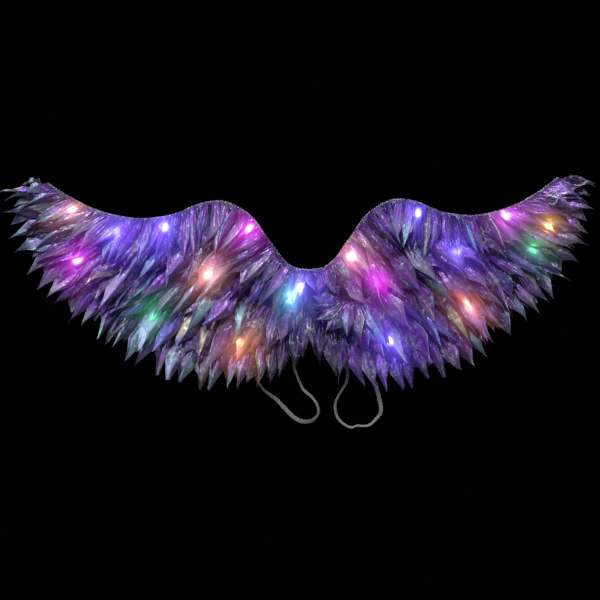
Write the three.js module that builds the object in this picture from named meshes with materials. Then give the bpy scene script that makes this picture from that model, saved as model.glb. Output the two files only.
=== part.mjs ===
// Light-up angel wings, worn on the back.
// One cloth-bound wire is bent into the top edges of both wings. It carries two cloth backings, and on each
// backing five gathered ruffles with saw-tooth hems overlap like rows of feathers. Small lamps stand under the
// ruffles: their stems pass through the backing to a lead behind it, which runs from a flat battery case.
// Two elastic straps are sewn to the back of the backings.
//
// Millimetres. X runs across the span, Y from the ruffles towards the wearer, Z up.
// The origin is the middle of the case's flat face, which rests on the wearer's back.
import * as THREE from "three";

// Driving dimensions
const SEAT_GAP = 0.3;
const CASE = { width: 56, height: 34, depth: 11, corner: 6, bevel: 1.5 };
const BACKING = { thickness: 1.5, edgeGap: 3.4, hemMargin: 30, pointsPerStation: 2 };
const BINDING = { radius: 2.5, sides: 8, steps: 78 };
const STRIP = {
  length: 66, // from the sewn head to the tips
  thickness: 1,
  headGap: 3.7, // from the binding's centreline to the first head
  headDepth: 8, // the gathered head rises to its full puff over this depth
  puff: 6.5,
  slope: 0.2, // a strip leans out this far for each millimetre below its head
  toothShare: 0.36, // of the strip's length that the saw-tooth cut takes
  midShare: 0.36,
  foldDepth: 2.2,
  foldRoom: 0.22, // of the room between two ruffles that a fold may take
  tipScatter: 0.07, // share of its length by which a tip may fall short
  cutScatter: 0.3, // share of its depth by which the cut between two tips varies
  tipSway: 0.45, // share of half a tooth by which a tip may lean sideways
};
const LAMP = { lens: 2.4, flange: 2.8, stem: 1.1, stemRoom: 0.4, collar: 0.8, height: 4.2, sides: 6, domeSteps: 2 };
const LEAD = { radius: 0.6, sides: 6, stepsPerLamp: 4, slack: 0.12 };
const STRAP = { width: 6, thickness: 1, steps: 48 };

// Both wings share one table. The right wing draws in towards its tip and is held a little higher.
const SIDES = {
  left: { sign: -1, taper: 0, lift: 0 },
  right: { sign: 1, taper: 0.05, lift: 0.02 },
};

// Wing stations from the centre to the tip: a point on the top edge and the feather tip straight below it.
const STATIONS = [
  { edgeOut: 0, edgeUp: 62.5, tipOut: 0, tipUp: -66 }, // middle of the back
  { edgeOut: 31.5, edgeUp: 70.8, tipOut: 34, tipUp: -99 },
  { edgeOut: 61.5, edgeUp: 107.5, tipOut: 90, tipUp: -115 },
  { edgeOut: 88.5, edgeUp: 143.5, tipOut: 150, tipUp: -116.5 },
  { edgeOut: 126, edgeUp: 164.5, tipOut: 211, tipUp: -100 }, // crest of the shoulder
  { edgeOut: 163.5, edgeUp: 161.5, tipOut: 264, tipUp: -73.5 },
  { edgeOut: 205.5, edgeUp: 145, tipOut: 318, tipUp: -34.5 },
  { edgeOut: 253.5, edgeUp: 139, tipOut: 366, tipUp: -8 }, // outer dip
  { edgeOut: 295.5, edgeUp: 145, tipOut: 400, tipUp: 32 },
  { edgeOut: 328.5, edgeUp: 155.5, tipOut: 425, tipUp: 71 },
  { edgeOut: 355.5, edgeUp: 169, tipOut: 443, tipUp: 110 },
  { edgeOut: 378, edgeUp: 182.5, tipOut: 454, tipUp: 153 },
  { edgeOut: 396, edgeUp: 194.5, tipOut: 435, tipUp: 186 }, // wing tip
];
const LAST_STATION = STATIONS.length - 1;

// Ruffles from the top edge down: where the head lies between the top edge (0) and the lowest seam (1),
// the stations that it runs between, its number of teeth, how many stations its tips lean outwards, and
// whether its ends run out under the row above.
const RUFFLES = [
  { name: "ruffle_1_top", drop: 0, from: 0, to: 10.8, teeth: 22, lean: 0.3, runsOut: false },
  { name: "ruffle_2_upper", drop: 0.28, from: 1.7, to: 6.9, teeth: 12, lean: 0.3, runsOut: true },
  { name: "ruffle_3_middle", drop: 0.55, from: 0, to: 9.6, teeth: 18, lean: 0.25, runsOut: false },
  { name: "ruffle_4_lower", drop: 0.78, from: 1.7, to: 6.9, teeth: 13, lean: 0.2, runsOut: true },
  { name: "ruffle_5_hem", drop: 1, from: 0, to: 12, teeth: 27, lean: 0, runsOut: false },
];
const RUN_OUT = { stations: 1.2, share: 0.6 }; // over this stretch a strip shortens to this share of its length

const LAMP_COLOURS = {
  cyan: 0x7fe6f2,
  violet: 0x6a5bff,
  magenta: 0xf03cf0,
  coral: 0xff9a78,
  amber: 0xffb050,
  green: 0x4fe08c,
  warm: 0xffc890,
  pink: 0xff5ad8,
};

// Lamps in the order of the lead, from the case outwards. X is signed.
const LAMPS = {
  left: [
    { x: -27, z: 24, colour: "cyan" },
    { x: -12, z: 36, colour: "violet" },
    { x: -88.5, z: 126, colour: "magenta" },
    { x: -153, z: 55.5, colour: "coral" },
    { x: -78, z: -41.5, colour: "amber" },
    { x: -103.5, z: -46, colour: "amber" },
    { x: -237, z: -4.5, colour: "green" },
    { x: -216, z: 129, colour: "violet" },
    { x: -286.5, z: 118.5, colour: "violet" },
    { x: -352.5, z: 153, colour: "warm" },
    { x: -347, z: 76, colour: "magenta" },
  ],
  right: [
    { x: 66, z: 87, colour: "warm" },
    { x: 163.5, z: 150.5, colour: "violet" },
    { x: 99, z: 43.5, colour: "magenta" },
    { x: 123, z: -42, colour: "violet" },
    { x: 240, z: 9, colour: "coral" },
    { x: 222, z: 90, colour: "violet" },
    { x: 297, z: 144, colour: "pink" },
    { x: 334.5, z: 96, colour: "green" },
    { x: 356.5, z: 129.5, colour: "amber" },
  ],
};

// Where each lead leaves the case and climbs past the strap's upper end before its first lamp.
const LEAD_START = {
  left: [{ x: -30, z: 4 }, { x: -34, z: 14 }],
  right: [{ x: 30, z: 4 }, { x: 33, z: 26 }, { x: 40, z: 60 }],
};

// Strap routes from the upper sewn end, down round the hanging loop and back up to the lower sewn end.
// back is the distance behind the backing, turn the band's angle out of the wing's plane in degrees.
const STRAP_ROUTES = {
  left: [
    { x: -45, z: 44, back: 0.8, turn: 0 },
    { x: -47, z: 34, back: 0.9, turn: 0 },
    { x: -56, z: -10, back: 2.2, turn: 8 },
    { x: -68, z: -58, back: 3.2, turn: 20 },
    { x: -79, z: -96, back: 3.8, turn: 55 },
    { x: -73, z: -111, back: 4, turn: 62 },
    { x: -64, z: -121, back: 4, turn: 48 },
    { x: -50, z: -131, back: 4, turn: 28 },
    { x: -36.5, z: -145, back: 4, turn: 8 },
    { x: -23, z: -158.5, back: 4, turn: 6 },
    { x: -10.5, z: -165, back: 4, turn: 18 },
    { x: 2, z: -164.5, back: 4, turn: 34 },
    { x: 11, z: -158, back: 4, turn: 50 },
    { x: 14.5, z: -149.5, back: 4, turn: 56 },
    { x: 11, z: -137.5, back: 4, turn: 60 },
    { x: 2.5, z: -126.5, back: 4, turn: 56 },
    { x: -7.5, z: -118, back: 4, turn: 54 },
    { x: -13, z: -108, back: 4, turn: 58 },
    { x: -17.5, z: -97, back: 4, turn: 62 },
    { x: -22, z: -83.5, back: 3.8, turn: 50 },
    { x: -20, z: -62, back: 3.2, turn: 20 },
    { x: -18, z: -44, back: 1.4, turn: 4 },
    { x: -17, z: -30, back: 0.8, turn: 0 },
  ],
  right: [
    { x: 55, z: 40, back: 0.8, turn: 0 },
    { x: 57, z: 30, back: 0.9, turn: 0 },
    { x: 70, z: -12, back: 2.2, turn: 8 },
    { x: 84, z: -60, back: 3.2, turn: 16 },
    { x: 95, z: -94, back: 3.8, turn: 26 },
    { x: 101.5, z: -113, back: 4, turn: 12 },
    { x: 105.5, z: -129, back: 4, turn: 10 },
    { x: 108.5, z: -144, back: 4, turn: 14 },
    { x: 107, z: -153.5, back: 4, turn: 38 },
    { x: 98.5, z: -164, back: 4, turn: 54 },
    { x: 90.5, z: -170.5, back: 4, turn: 62 },
    { x: 82, z: -172, back: 4, turn: 68 },
    { x: 72.5, z: -171.5, back: 4, turn: 70 },
    { x: 63, z: -174, back: 4, turn: 66 },
    { x: 53.5, z: -169.5, back: 4, turn: 60 },
    { x: 44, z: -160.5, back: 4, turn: 56 },
    { x: 40, z: -149.5, back: 4, turn: 54 },
    { x: 40, z: -137.5, back: 4, turn: 56 },
    { x: 45, z: -125, back: 4, turn: 60 },
    { x: 53.5, z: -111.5, back: 4, turn: 56 },
    { x: 58, z: -101, back: 4, turn: 50 },
    { x: 57, z: -86, back: 3.8, turn: 40 },
    { x: 44, z: -62, back: 3.2, turn: 20 },
    { x: 27, z: -42, back: 1.4, turn: 4 },
    { x: 18, z: -30, back: 0.8, turn: 0 },
  ],
};

// Planes across Y, from the wearer forwards
const CASE_FRONT = -CASE.depth;
const BACKING_BACK = CASE_FRONT - SEAT_GAP;
const BACKING_FRONT = BACKING_BACK - BACKING.thickness;
const BINDING_Y = (BACKING_BACK + BACKING_FRONT) / 2;
const LEAD_Y = BACKING_BACK + SEAT_GAP + LEAD.radius;

const MATERIALS = {
  iridescent: new THREE.MeshStandardMaterial({ color: 0x6a4f8e, roughness: 0.35, metalness: 0.4 }),
  backing: new THREE.MeshStandardMaterial({ color: 0x4b3a66, roughness: 0.9, metalness: 0 }),
  binding: new THREE.MeshStandardMaterial({ color: 0x5d4a78, roughness: 0.5, metalness: 0.2 }),
  elastic: new THREE.MeshStandardMaterial({ color: 0x9a969c, roughness: 0.85, metalness: 0 }),
  lead: new THREE.MeshStandardMaterial({ color: 0xcfc8d8, roughness: 0.3, metalness: 0 }),
  case: new THREE.MeshStandardMaterial({ color: 0xe6e2ea, roughness: 0.45, metalness: 0 }),
  lamps: Object.fromEntries(
    Object.entries(LAMP_COLOURS).map(([name, color]) => [
      name,
      new THREE.MeshStandardMaterial({ color, emissive: color, roughness: 0.2, metalness: 0 }),
    ]),
  ),
};

// Wing shape

// A smooth line through one point of each station, carried on over the middle as its own mirror image.
function stationCurve(pick) {
  const half = STATIONS.map(pick);
  const mirrored = half.slice(1).reverse().map(({ x, y }) => new THREE.Vector2(-x, y));
  return new THREE.SplineCurve([...mirrored, ...half]);
}

const edgeCurve = stationCurve((s) => new THREE.Vector2(s.edgeOut, s.edgeUp));
const tipCurve = stationCurve((s) => new THREE.Vector2(s.tipOut, s.tipUp));
const curveShare = (station) => (LAST_STATION + station) / (2 * LAST_STATION);

// The feather line at a station: from the top edge towards the tip below it.
function featherLine(station) {
  const edge = edgeCurve.getPoint(curveShare(station));
  const reach = tipCurve.getPoint(curveShare(station)).sub(edge);
  return { edge, length: reach.length(), direction: reach.clone().normalize() };
}

// A point of one wing, the given distance below its top edge.
function wingPoint(side, station, distance, y) {
  const { sign, taper, lift } = SIDES[side];
  const line = featherLine(station);
  const place = line.edge.clone().addScaledVector(line.direction, distance);
  const out = place.x * (1 - (taper * place.x) / STATIONS[LAST_STATION].edgeOut);
  return new THREE.Vector3(sign * (out + SEAT_GAP / 2), y, place.y + lift * out);
}

// How far down the feather line to go for the given clear distance, square to the top edge.
function belowEdge(station, clear) {
  const along = edgeCurve.getTangent(curveShare(station));
  return clear / Math.abs(along.cross(featherLine(station).direction));
}

// How far below the top edge a ruffle's head is sewn.
function headDistance(ruffle, station) {
  const first = belowEdge(station, STRIP.headGap);
  const lowest = Math.max(featherLine(station).length - STRIP.length, first);
  return THREE.MathUtils.lerp(first, lowest, ruffle.drop);
}

// The room along the feather line to the nearest neighbouring ruffle's head.
function headSpacing(ruffle, station) {
  const own = headDistance(ruffle, station);
  const others = RUFFLES.filter((r) => r !== ruffle && r.from - 1 < station && station < r.to + 1);
  return Math.min(...others.map((r) => Math.abs(headDistance(r, station) - own)));
}

// The length of a ruffle's strip at a station, from its head to its tips.
function stripLength(ruffle, station) {
  const full = Math.min(STRIP.length, featherLine(station).length - headDistance(ruffle, station));
  if (!ruffle.runsOut) return full;
  const toEnd = Math.min(station - ruffle.from, ruffle.to - station);
  return full * THREE.MathUtils.lerp(RUN_OUT.share, 1, THREE.MathUtils.smoothstep(toEnd, 0, RUN_OUT.stations));
}

// A repeatable number from -1 to 1 for each tooth, so that the cut tips are uneven as hand-cut ones are.
function scatter(index, seed) {
  const wave = Math.sin(index * 12.9898 + seed * 78.233) * 43758.5453;
  return 2 * (wave - Math.floor(wave)) - 1;
}

// Closed solids

// A closed skin through sections, each with a front and a back row of points. Quads close both ends.
// Front and back quads are split along the same diagonal, so a twisted wall keeps its thickness.
function skin(sections) {
  const rows = sections[0].front.length;
  const ring = 2 * rows;
  const points = sections.flatMap((s) => [...s.front, ...s.back.slice().reverse()]);
  const index = [];
  const quad = (a, b, c, d) => index.push(a, b, c, a, c, d);
  for (let s = 0; s < sections.length - 1; s++) {
    for (let k = 0; k < ring; k++) {
      const here = s * ring;
      const beyond = here + ring;
      const next = (k + 1) % ring;
      if (k < rows) quad(here + k, beyond + k, beyond + next, here + next);
      else quad(here + next, here + k, beyond + k, beyond + next);
    }
  }
  const last = (sections.length - 1) * ring;
  for (let k = 0; k < rows - 1; k++) {
    const back = ring - 1 - k;
    quad(k, k + 1, back - 1, back);
    quad(last + k, last + back, last + back - 1, last + k + 1);
  }
  return facingOut(new THREE.BufferGeometry().setFromPoints(points).setIndex(index));
}

// Turns a closed geometry's faces round if its signed volume is negative.
function facingOut(geometry) {
  const { position } = geometry.attributes;
  const { array } = geometry.index;
  const corner = (i) => new THREE.Vector3().fromBufferAttribute(position, array[i]);
  let volume = 0;
  for (let i = 0; i < array.length; i += 3) {
    volume += corner(i).dot(corner(i + 1).cross(corner(i + 2)));
  }
  if (volume < 0) {
    for (let i = 0; i < array.length; i += 3) {
      [array[i + 1], array[i + 2]] = [array[i + 2], array[i + 1]];
    }
  }
  geometry.computeVertexNormals();
  return geometry;
}

// A round bar along a curve.
function roundBar(curve, { radius, sides, steps }) {
  const section = new THREE.Shape().absarc(0, 0, radius, 0, 2 * Math.PI);
  return new THREE.ExtrudeGeometry(section, { extrudePath: curve, steps, curveSegments: sides / 2 });
}

// A flat outline in X and Z, thickened forwards from the plane y.
function plate(outline, y, thickness, options = { bevelEnabled: false }) {
  return new THREE.ExtrudeGeometry(outline, { depth: thickness, curveSegments: 3, ...options })
    .rotateX(Math.PI / 2)
    .translate(0, y, 0);
}

// Pieces

function edgeBinding() {
  const half = (side) =>
    STATIONS.slice(1).map((_, k) => wingPoint(side, k + 1, 0, BINDING_Y));
  const middle = new THREE.Vector3(0, BINDING_Y, STATIONS[0].edgeUp);
  const route = [...half("left").reverse(), middle, ...half("right")];
  return roundBar(new THREE.CatmullRomCurve3(route, false, "catmullrom"), BINDING);
}

function backing(side) {
  const steps = LAST_STATION * BACKING.pointsPerStation;
  const stations = Array.from({ length: steps + 1 }, (_, k) => k / BACKING.pointsPerStation);
  const flat = ({ x, z }) => new THREE.Vector2(x, z);
  const upper = stations.map((s) => flat(wingPoint(side, s, belowEdge(s, BACKING.edgeGap), 0)));
  const lower = stations.map((s) => flat(wingPoint(side, s, featherLine(s).length - BACKING.hemMargin, 0)));
  const outline = new THREE.Shape([...upper, ...lower.reverse()]);
  for (const lamp of LAMPS[side]) {
    const hole = new THREE.Path().absarc(lamp.x, lamp.z, LAMP.stem + LAMP.stemRoom, 0, 2 * Math.PI);
    outline.holes.push(hole);
  }
  return plate(outline, BACKING_BACK, BACKING.thickness);
}

// A ruffle: a strip gathered at its head, folded lengthwise under each tooth and cut to a point between the folds.
function ruffle(side, shape) {
  const columns = 2 * shape.teeth;
  const sections = [];
  for (let c = 0; c <= columns; c++) {
    const isTip = c % 2 === 1;
    const chance = scatter(c, shape.drop + SIDES[side].sign);
    const sway = isTip ? STRIP.tipSway * chance : 0;
    const station = THREE.MathUtils.lerp(shape.from, shape.to, (c + sway) / columns);
    const cut = stripLength(shape, station);
    const tipShare = 1 - STRIP.tipScatter * Math.abs(chance);
    const cutShare = 1 - STRIP.toothShare * (1 - STRIP.cutScatter * Math.abs(chance));
    const reach = cut * (isTip ? tipShare : cutShare);
    const fold = Math.min(STRIP.foldDepth, STRIP.foldRoom * STRIP.slope * headSpacing(shape, station));
    const rows = [0, STRIP.headDepth, THREE.MathUtils.lerp(STRIP.headDepth, reach, STRIP.midShare), reach];
    const at = (below, thickness) => {
      const rise = Math.min(1, below / STRIP.headDepth);
      const out = SEAT_GAP + STRIP.puff * rise + STRIP.slope * below + (isTip ? fold : -fold) * rise;
      const leaning = station + (shape.lean * below) / STRIP.length;
      return wingPoint(side, leaning, headDistance(shape, leaning) + below, BACKING_FRONT - out - thickness);
    };
    sections.push({
      front: rows.map((below) => at(below, STRIP.thickness)),
      back: rows.map((below) => at(below, 0)),
    });
  }
  return skin(sections);
}

// A lamp: a domed lens on a flange, with a stem that reaches the back of the backing.
function lampGeometry() {
  const base = SEAT_GAP;
  const top = SEAT_GAP + LAMP.collar;
  const profile = [
    new THREE.Vector2(0, -BACKING.thickness),
    new THREE.Vector2(LAMP.stem, -BACKING.thickness),
    new THREE.Vector2(LAMP.stem, base),
    new THREE.Vector2(LAMP.flange, base),
    new THREE.Vector2(LAMP.flange, top),
  ];
  for (let k = 0; k < LAMP.domeSteps; k++) {
    const angle = (k / LAMP.domeSteps) * (Math.PI / 2);
    const height = top + (LAMP.height - top) * Math.sin(angle);
    profile.push(new THREE.Vector2(LAMP.lens * Math.cos(angle), height));
  }
  profile.push(new THREE.Vector2(0, LAMP.height));
  return new THREE.LatheGeometry(profile, LAMP.sides).rotateX(Math.PI);
}

function lead(side) {
  const route = [...LEAD_START[side], ...LAMPS[side]].map(({ x, z }) => new THREE.Vector3(x, LEAD_Y, z));
  const curve = new THREE.CatmullRomCurve3(route, false, "catmullrom", LEAD.slack);
  return roundBar(curve, { ...LEAD, steps: LEAD.stepsPerLamp * route.length });
}

function strap(side) {
  const route = STRAP_ROUTES[side];
  const line = new THREE.CatmullRomCurve3(
    route.map(({ x, z, back }) => new THREE.Vector3(x, BACKING_BACK + back, z)),
    false,
    "catmullrom",
  );
  const turns = new THREE.SplineCurve(route.map(({ turn }, k) => new THREE.Vector2(k, turn)));
  const forward = new THREE.Vector3(0, -1, 0);
  const sections = [];
  for (let k = 0; k <= STRAP.steps; k++) {
    const share = k / STRAP.steps;
    const middle = line.getPoint(share);
    const along = line.getTangent(share);
    const turn = THREE.MathUtils.degToRad(turns.getPoint(share).y);
    const across = new THREE.Vector3().crossVectors(along, forward).normalize().applyAxisAngle(along, turn);
    const face = new THREE.Vector3().crossVectors(across, along).normalize();
    const corner = (a, f) =>
      middle.clone().addScaledVector(across, (a * STRAP.width) / 2).addScaledVector(face, (f * STRAP.thickness) / 2);
    sections.push({ front: [corner(-1, 1), corner(1, 1)], back: [corner(-1, -1), corner(1, -1)] });
  }
  return skin(sections);
}

function batteryCase() {
  const half = { x: CASE.width / 2 - CASE.bevel, z: CASE.height / 2 - CASE.bevel };
  const { corner } = CASE;
  const outline = new THREE.Shape()
    .moveTo(-half.x + corner, -half.z)
    .lineTo(half.x - corner, -half.z)
    .absarc(half.x - corner, -half.z + corner, corner, -Math.PI / 2, 0)
    .absarc(half.x - corner, half.z - corner, corner, 0, Math.PI / 2)
    .absarc(-half.x + corner, half.z - corner, corner, Math.PI / 2, Math.PI)
    .absarc(-half.x + corner, -half.z + corner, corner, Math.PI, 1.5 * Math.PI);
  const rounding = { bevelThickness: CASE.bevel, bevelSize: CASE.bevel, bevelSegments: 1 };
  return plate(outline, -CASE.bevel, CASE.depth - 2 * CASE.bevel, rounding);
}

// Assembly

const wings = new THREE.Group();

function add(name, geometry, material) {
  const mesh = new THREE.Mesh(geometry, material);
  mesh.name = name;
  wings.add(mesh);
  return mesh;
}

add("edge_binding", edgeBinding(), MATERIALS.binding);
add("battery_case", batteryCase(), MATERIALS.case);
for (const side of Object.keys(SIDES)) {
  add(`backing_${side}`, backing(side), MATERIALS.backing);
  add(`lead_${side}`, lead(side), MATERIALS.lead);
  add(`strap_${side}`, strap(side), MATERIALS.elastic);
  for (const shape of RUFFLES) {
    add(`${shape.name}_${side}`, ruffle(side, shape), MATERIALS.iridescent);
  }
  LAMPS[side].forEach(({ x, z, colour }, k) => {
    const name = `lamp_${side}_${String(k + 1).padStart(2, "0")}`;
    add(name, lampGeometry(), MATERIALS.lamps[colour]).position.set(x, BACKING_FRONT, z);
  });
}

export default wings;
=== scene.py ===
"""Light-up angel wings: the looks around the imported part.

A cloth-bound wire carries two cloth backings. On each backing five gathered ruffles of iridescent cloth are
cut into pointed leaves that overlap like feathers, and small lamps shine through them from below. A battery
case, a lead and two elastic straps are on the back.

Shapes are worked out in millimetres and become metres when a mesh is made. X runs across the span, Y from
the ruffles towards the wearer and Z up, with the origin in the middle of the case's flat face.
"""

from __future__ import annotations

import logging
from dataclasses import dataclass, field
from enum import Enum

import bpy
import numpy as np
from bpy.types import Material, Node, NodeTree, Object
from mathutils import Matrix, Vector

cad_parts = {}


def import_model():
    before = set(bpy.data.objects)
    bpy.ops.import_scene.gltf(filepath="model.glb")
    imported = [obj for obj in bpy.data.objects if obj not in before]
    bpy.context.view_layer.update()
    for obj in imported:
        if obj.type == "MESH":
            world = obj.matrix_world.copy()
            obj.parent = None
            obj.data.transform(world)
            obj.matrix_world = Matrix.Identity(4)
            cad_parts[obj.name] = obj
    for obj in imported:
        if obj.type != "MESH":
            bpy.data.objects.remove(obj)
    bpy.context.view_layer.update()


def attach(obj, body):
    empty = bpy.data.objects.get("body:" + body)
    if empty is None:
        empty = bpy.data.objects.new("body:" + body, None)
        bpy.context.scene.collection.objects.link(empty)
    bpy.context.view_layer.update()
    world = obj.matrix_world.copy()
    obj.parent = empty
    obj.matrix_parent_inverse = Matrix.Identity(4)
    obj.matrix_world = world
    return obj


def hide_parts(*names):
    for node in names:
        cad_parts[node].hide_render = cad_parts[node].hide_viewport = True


LOG = logging.getLogger("angel_wings")
MM = 0.001
ROOT = "root"
Array = np.ndarray
Span = tuple[float, float]

# Planes across Y, from the wearer forwards, and the gap that neighbouring pieces keep.
CASE_DEPTH = 11.0
SEAT_GAP = 0.3
BACKING_WALL = 1.5
BACKING_BACK = -CASE_DEPTH - SEAT_GAP
BACKING_FRONT = BACKING_BACK - BACKING_WALL
BACKING_MIDDLE = (BACKING_BACK + BACKING_FRONT) / 2
FORWARD = np.array([0.0, -1.0, 0.0])  # from the wearer towards the ruffles


def linear(colour: str) -> Array:
    """Linear RGB of an sRGB colour: c / 12.92 up to 0.04045, and ((c + 0.055) / 1.055) ** 2.4 above.

    Args:
        colour: six hex digits.

    Returns:
        Three linear values from 0 to 1.
    """
    channel = np.array([int(colour[k : k + 2], 16) for k in (0, 2, 4)]) / 255
    return np.where(channel <= 0.04045, channel / 12.92, ((channel + 0.055) / 1.055) ** 2.4)


def socket_colour(colour: str) -> tuple[float, ...]:
    """An sRGB hex colour as the linear RGBA that a shader's socket takes."""
    return (*linear(colour), 1.0)


def smoothstep(value: Array, low: float, high: float) -> Array:
    """The share s of the way from low to high, held to 0 and 1 and eased as 3 s^2 - 2 s^3."""
    share = np.clip((value - low) / (high - low), 0, 1)
    return share * share * (3 - 2 * share)


def unit(vectors: Array) -> Array:
    """Vectors along the last axis, divided by their lengths."""
    return vectors / np.linalg.norm(vectors, axis=-1, keepdims=True)


def run_length(line: Array) -> Array:
    """The length of a line of points up to each of them: the running sum of its steps."""
    return np.concatenate([[0.0], np.cumsum(np.linalg.norm(np.diff(line, axis=0), axis=-1))])


def smooth_line(points: Array, place: Array, slack: float = 0.5, flared: bool = True) -> Array:
    """A Catmull-Rom line through a row of points.

    From point b to point c it is the cubic that leaves b at slack times (c - a) and reaches c at slack
    times (d - b), where a and d are the points before b and after c.

    Args:
        points: the points, one in each row.
        place: where to read the line, 0 at the first point and 1 at the second, in any shape.
        slack: how far the line swings out at its points.
        flared: whether the ends run straight on, or else come to a slower stop.

    Returns:
        The line's points, in the shape of place with the coordinates last.
    """
    last = len(points) - 1
    before = 2 * points[0] - points[1] if flared else points[0]
    after = 2 * points[last] - points[last - 1] if flared else points[last]
    padded = np.vstack([before, points, after])
    start = np.clip(np.floor(place).astype(int), 0, last - 1)
    share = (place - start)[..., None]
    a, b, c, d = (padded[start + step] for step in range(4))
    leave = slack * (c - a)
    arrive = slack * (d - b)
    square = 3 * (c - b) - 2 * leave - arrive
    cube = 2 * (b - c) + leave + arrive
    return b + leave * share + square * share**2 + cube * share**3


def grid_quads(rows: int, columns: int, round_columns: bool = False) -> Array:
    """The quads of a grid whose points are numbered row by row.

    Args:
        rows: number of rows of points.
        columns: number of points in a row.
        round_columns: whether the last column joins the first.

    Returns:
        The corner numbers, one quad in each row.
    """
    number = np.arange(rows * columns).reshape(rows, columns)
    if round_columns:
        number = np.hstack([number, number[:, :1]])
    corners = (number[:-1, :-1], number[1:, :-1], number[1:, 1:], number[:-1, 1:])
    return np.stack(corners, axis=-1).reshape(-1, 4)


def wall_quads(rows: int, columns: int) -> Array:
    """The quads of a thin wall: a front grid, a back grid numbered after it, and the rim between their edges.

    Args:
        rows: number of rows of points in each grid.
        columns: number of points in a row.

    Returns:
        The corner numbers, one quad in each row.
    """
    count = rows * columns
    number = np.arange(count).reshape(rows, columns)
    edge = np.concatenate([number[0, :-1], number[:-1, -1], number[-1, :0:-1], number[:0:-1, 0]])
    following = np.roll(edge, -1)
    rim = np.stack([edge, following, following + count, edge + count], axis=-1)
    front = grid_quads(rows, columns)
    return np.vstack([front, front[:, ::-1] + count, rim])


def wall_points(middle: Array, thickness: float) -> Array:
    """The points of thin walls: each grid half a thickness forward, and after it half a thickness back.

    Args:
        middle: the grids' middle points, with rows, columns and coordinates last.
        thickness: the walls' thickness.

    Returns:
        The points, one in each row.
    """
    half = FORWARD * thickness / 2
    return np.stack([middle + half, middle - half], axis=-4).reshape(-1, 3)


def repeat_quads(quads: Array, copies: int, points_each: int) -> Array:
    """The same quads for a number of copies whose points follow one another.

    Args:
        quads: the corner numbers of the first copy.
        copies: how many there are.
        points_each: the number of points in each.

    Returns:
        The corner numbers of all copies, one quad in each row.
    """
    offsets = np.arange(copies)[:, None, None] * points_each
    return (quads[None] + offsets).reshape(-1, 4)


def capped_rings(steps: int, sides: int) -> list:
    """The faces of a closed tube whose rings of points follow one another.

    Args:
        steps: number of rings.
        sides: number of points in a ring.

    Returns:
        The corner numbers of the quads between the rings and of a cap at each end.
    """
    faces = grid_quads(steps, sides, round_columns=True).tolist()
    faces.append(list(range(sides)))
    faces.append(list(range(steps * sides - 1, (steps - 1) * sides - 1, -1)))
    return faces


def tube(centres: Array, across: Array, outwards: Array, ring: Array) -> tuple[Array, list]:
    """A closed tube: a ring of section points carried along a path.

    Each point is the path's centre plus the ring's first coordinate along across and its second along
    outwards.

    Args:
        centres: the path's points, one in each row.
        across: unit vectors for the ring's first coordinate, one for each path point.
        outwards: unit vectors for its second coordinate.
        ring: section points, either (sides, 2) or (steps, sides, 2).

    Returns:
        The points, and the faces with a cap at each end.
    """
    ring = np.broadcast_to(ring, (len(centres), *ring.shape[-2:]))
    points = centres[:, None] + ring[..., :1] * across[:, None] + ring[..., 1:] * outwards[:, None]
    return points.reshape(-1, 3), capped_rings(*ring.shape[:2])


def circle(sides: int) -> Array:
    """Points of a unit circle, counted from the first coordinate's axis."""
    angle = np.linspace(0, 2 * np.pi, sides, endpoint=False)
    return np.stack([np.cos(angle), np.sin(angle)], axis=-1)


def make_piece(
    name: str,
    points: Array,
    faces: Array | list,
    material: Material,
    replaced: str | None = None,
    colours: dict[str, Array] | None = None,
    weave: Array | None = None,
    crease: float = 48.0,
) -> Object:
    """Makes a mesh piece of the object that rides on the part.

    Args:
        name: the piece's name.
        points: its points in millimetres, one in each row.
        faces: the corner numbers of its faces.
        material: its finish.
        replaced: the CAD node that it stands for, if any.
        colours: linear RGB for each point, by the attribute's name.
        weave: for each point, its place on the cloth in millimetres, across and along, for a UV map.
        crease: edges sharper than this angle in degrees stay sharp.

    Returns:
        The new object.
    """
    mesh = bpy.data.meshes.new(name)
    mesh.from_pydata((points * MM).tolist(), [], faces if isinstance(faces, list) else faces.tolist())
    mesh.polygons.foreach_set("use_smooth", np.ones(len(mesh.polygons), dtype=bool))
    mesh.set_sharp_from_angle(angle=np.radians(crease))
    for title, values in (colours or {}).items():
        rgba = np.hstack([values, np.ones((len(values), 1))]).astype(np.float32)
        mesh.attributes.new(title, "FLOAT_COLOR", "POINT").data.foreach_set("color", rgba.ravel())
    if weave is not None:
        corner = np.zeros(len(mesh.loops), dtype=np.int32)
        mesh.loops.foreach_get("vertex_index", corner)
        mesh.uv_layers.new(name="weave").uv.foreach_set("vector", weave[corner].astype(np.float32).ravel())
    mesh.materials.append(material)
    mesh.update()
    piece = bpy.data.objects.new(name, mesh)
    bpy.context.scene.collection.objects.link(piece)
    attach(piece, ROOT)
    if replaced:
        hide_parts(replaced)
    LOG.info("%s: %d faces", name, len(mesh.polygons))
    return piece


def feed(node: Node, links: dict[str | int, object]) -> None:
    """Links a node's inputs to the nodes that feed them.

    Args:
        node: the node.
        links: by the name or number of an input, the node whose first output feeds it, or node and output.
    """
    for name, source in links.items():
        giver, output = source if isinstance(source, tuple) else (source, 0)
        node.id_data.links.new(giver.outputs[output], node.inputs[name])


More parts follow.
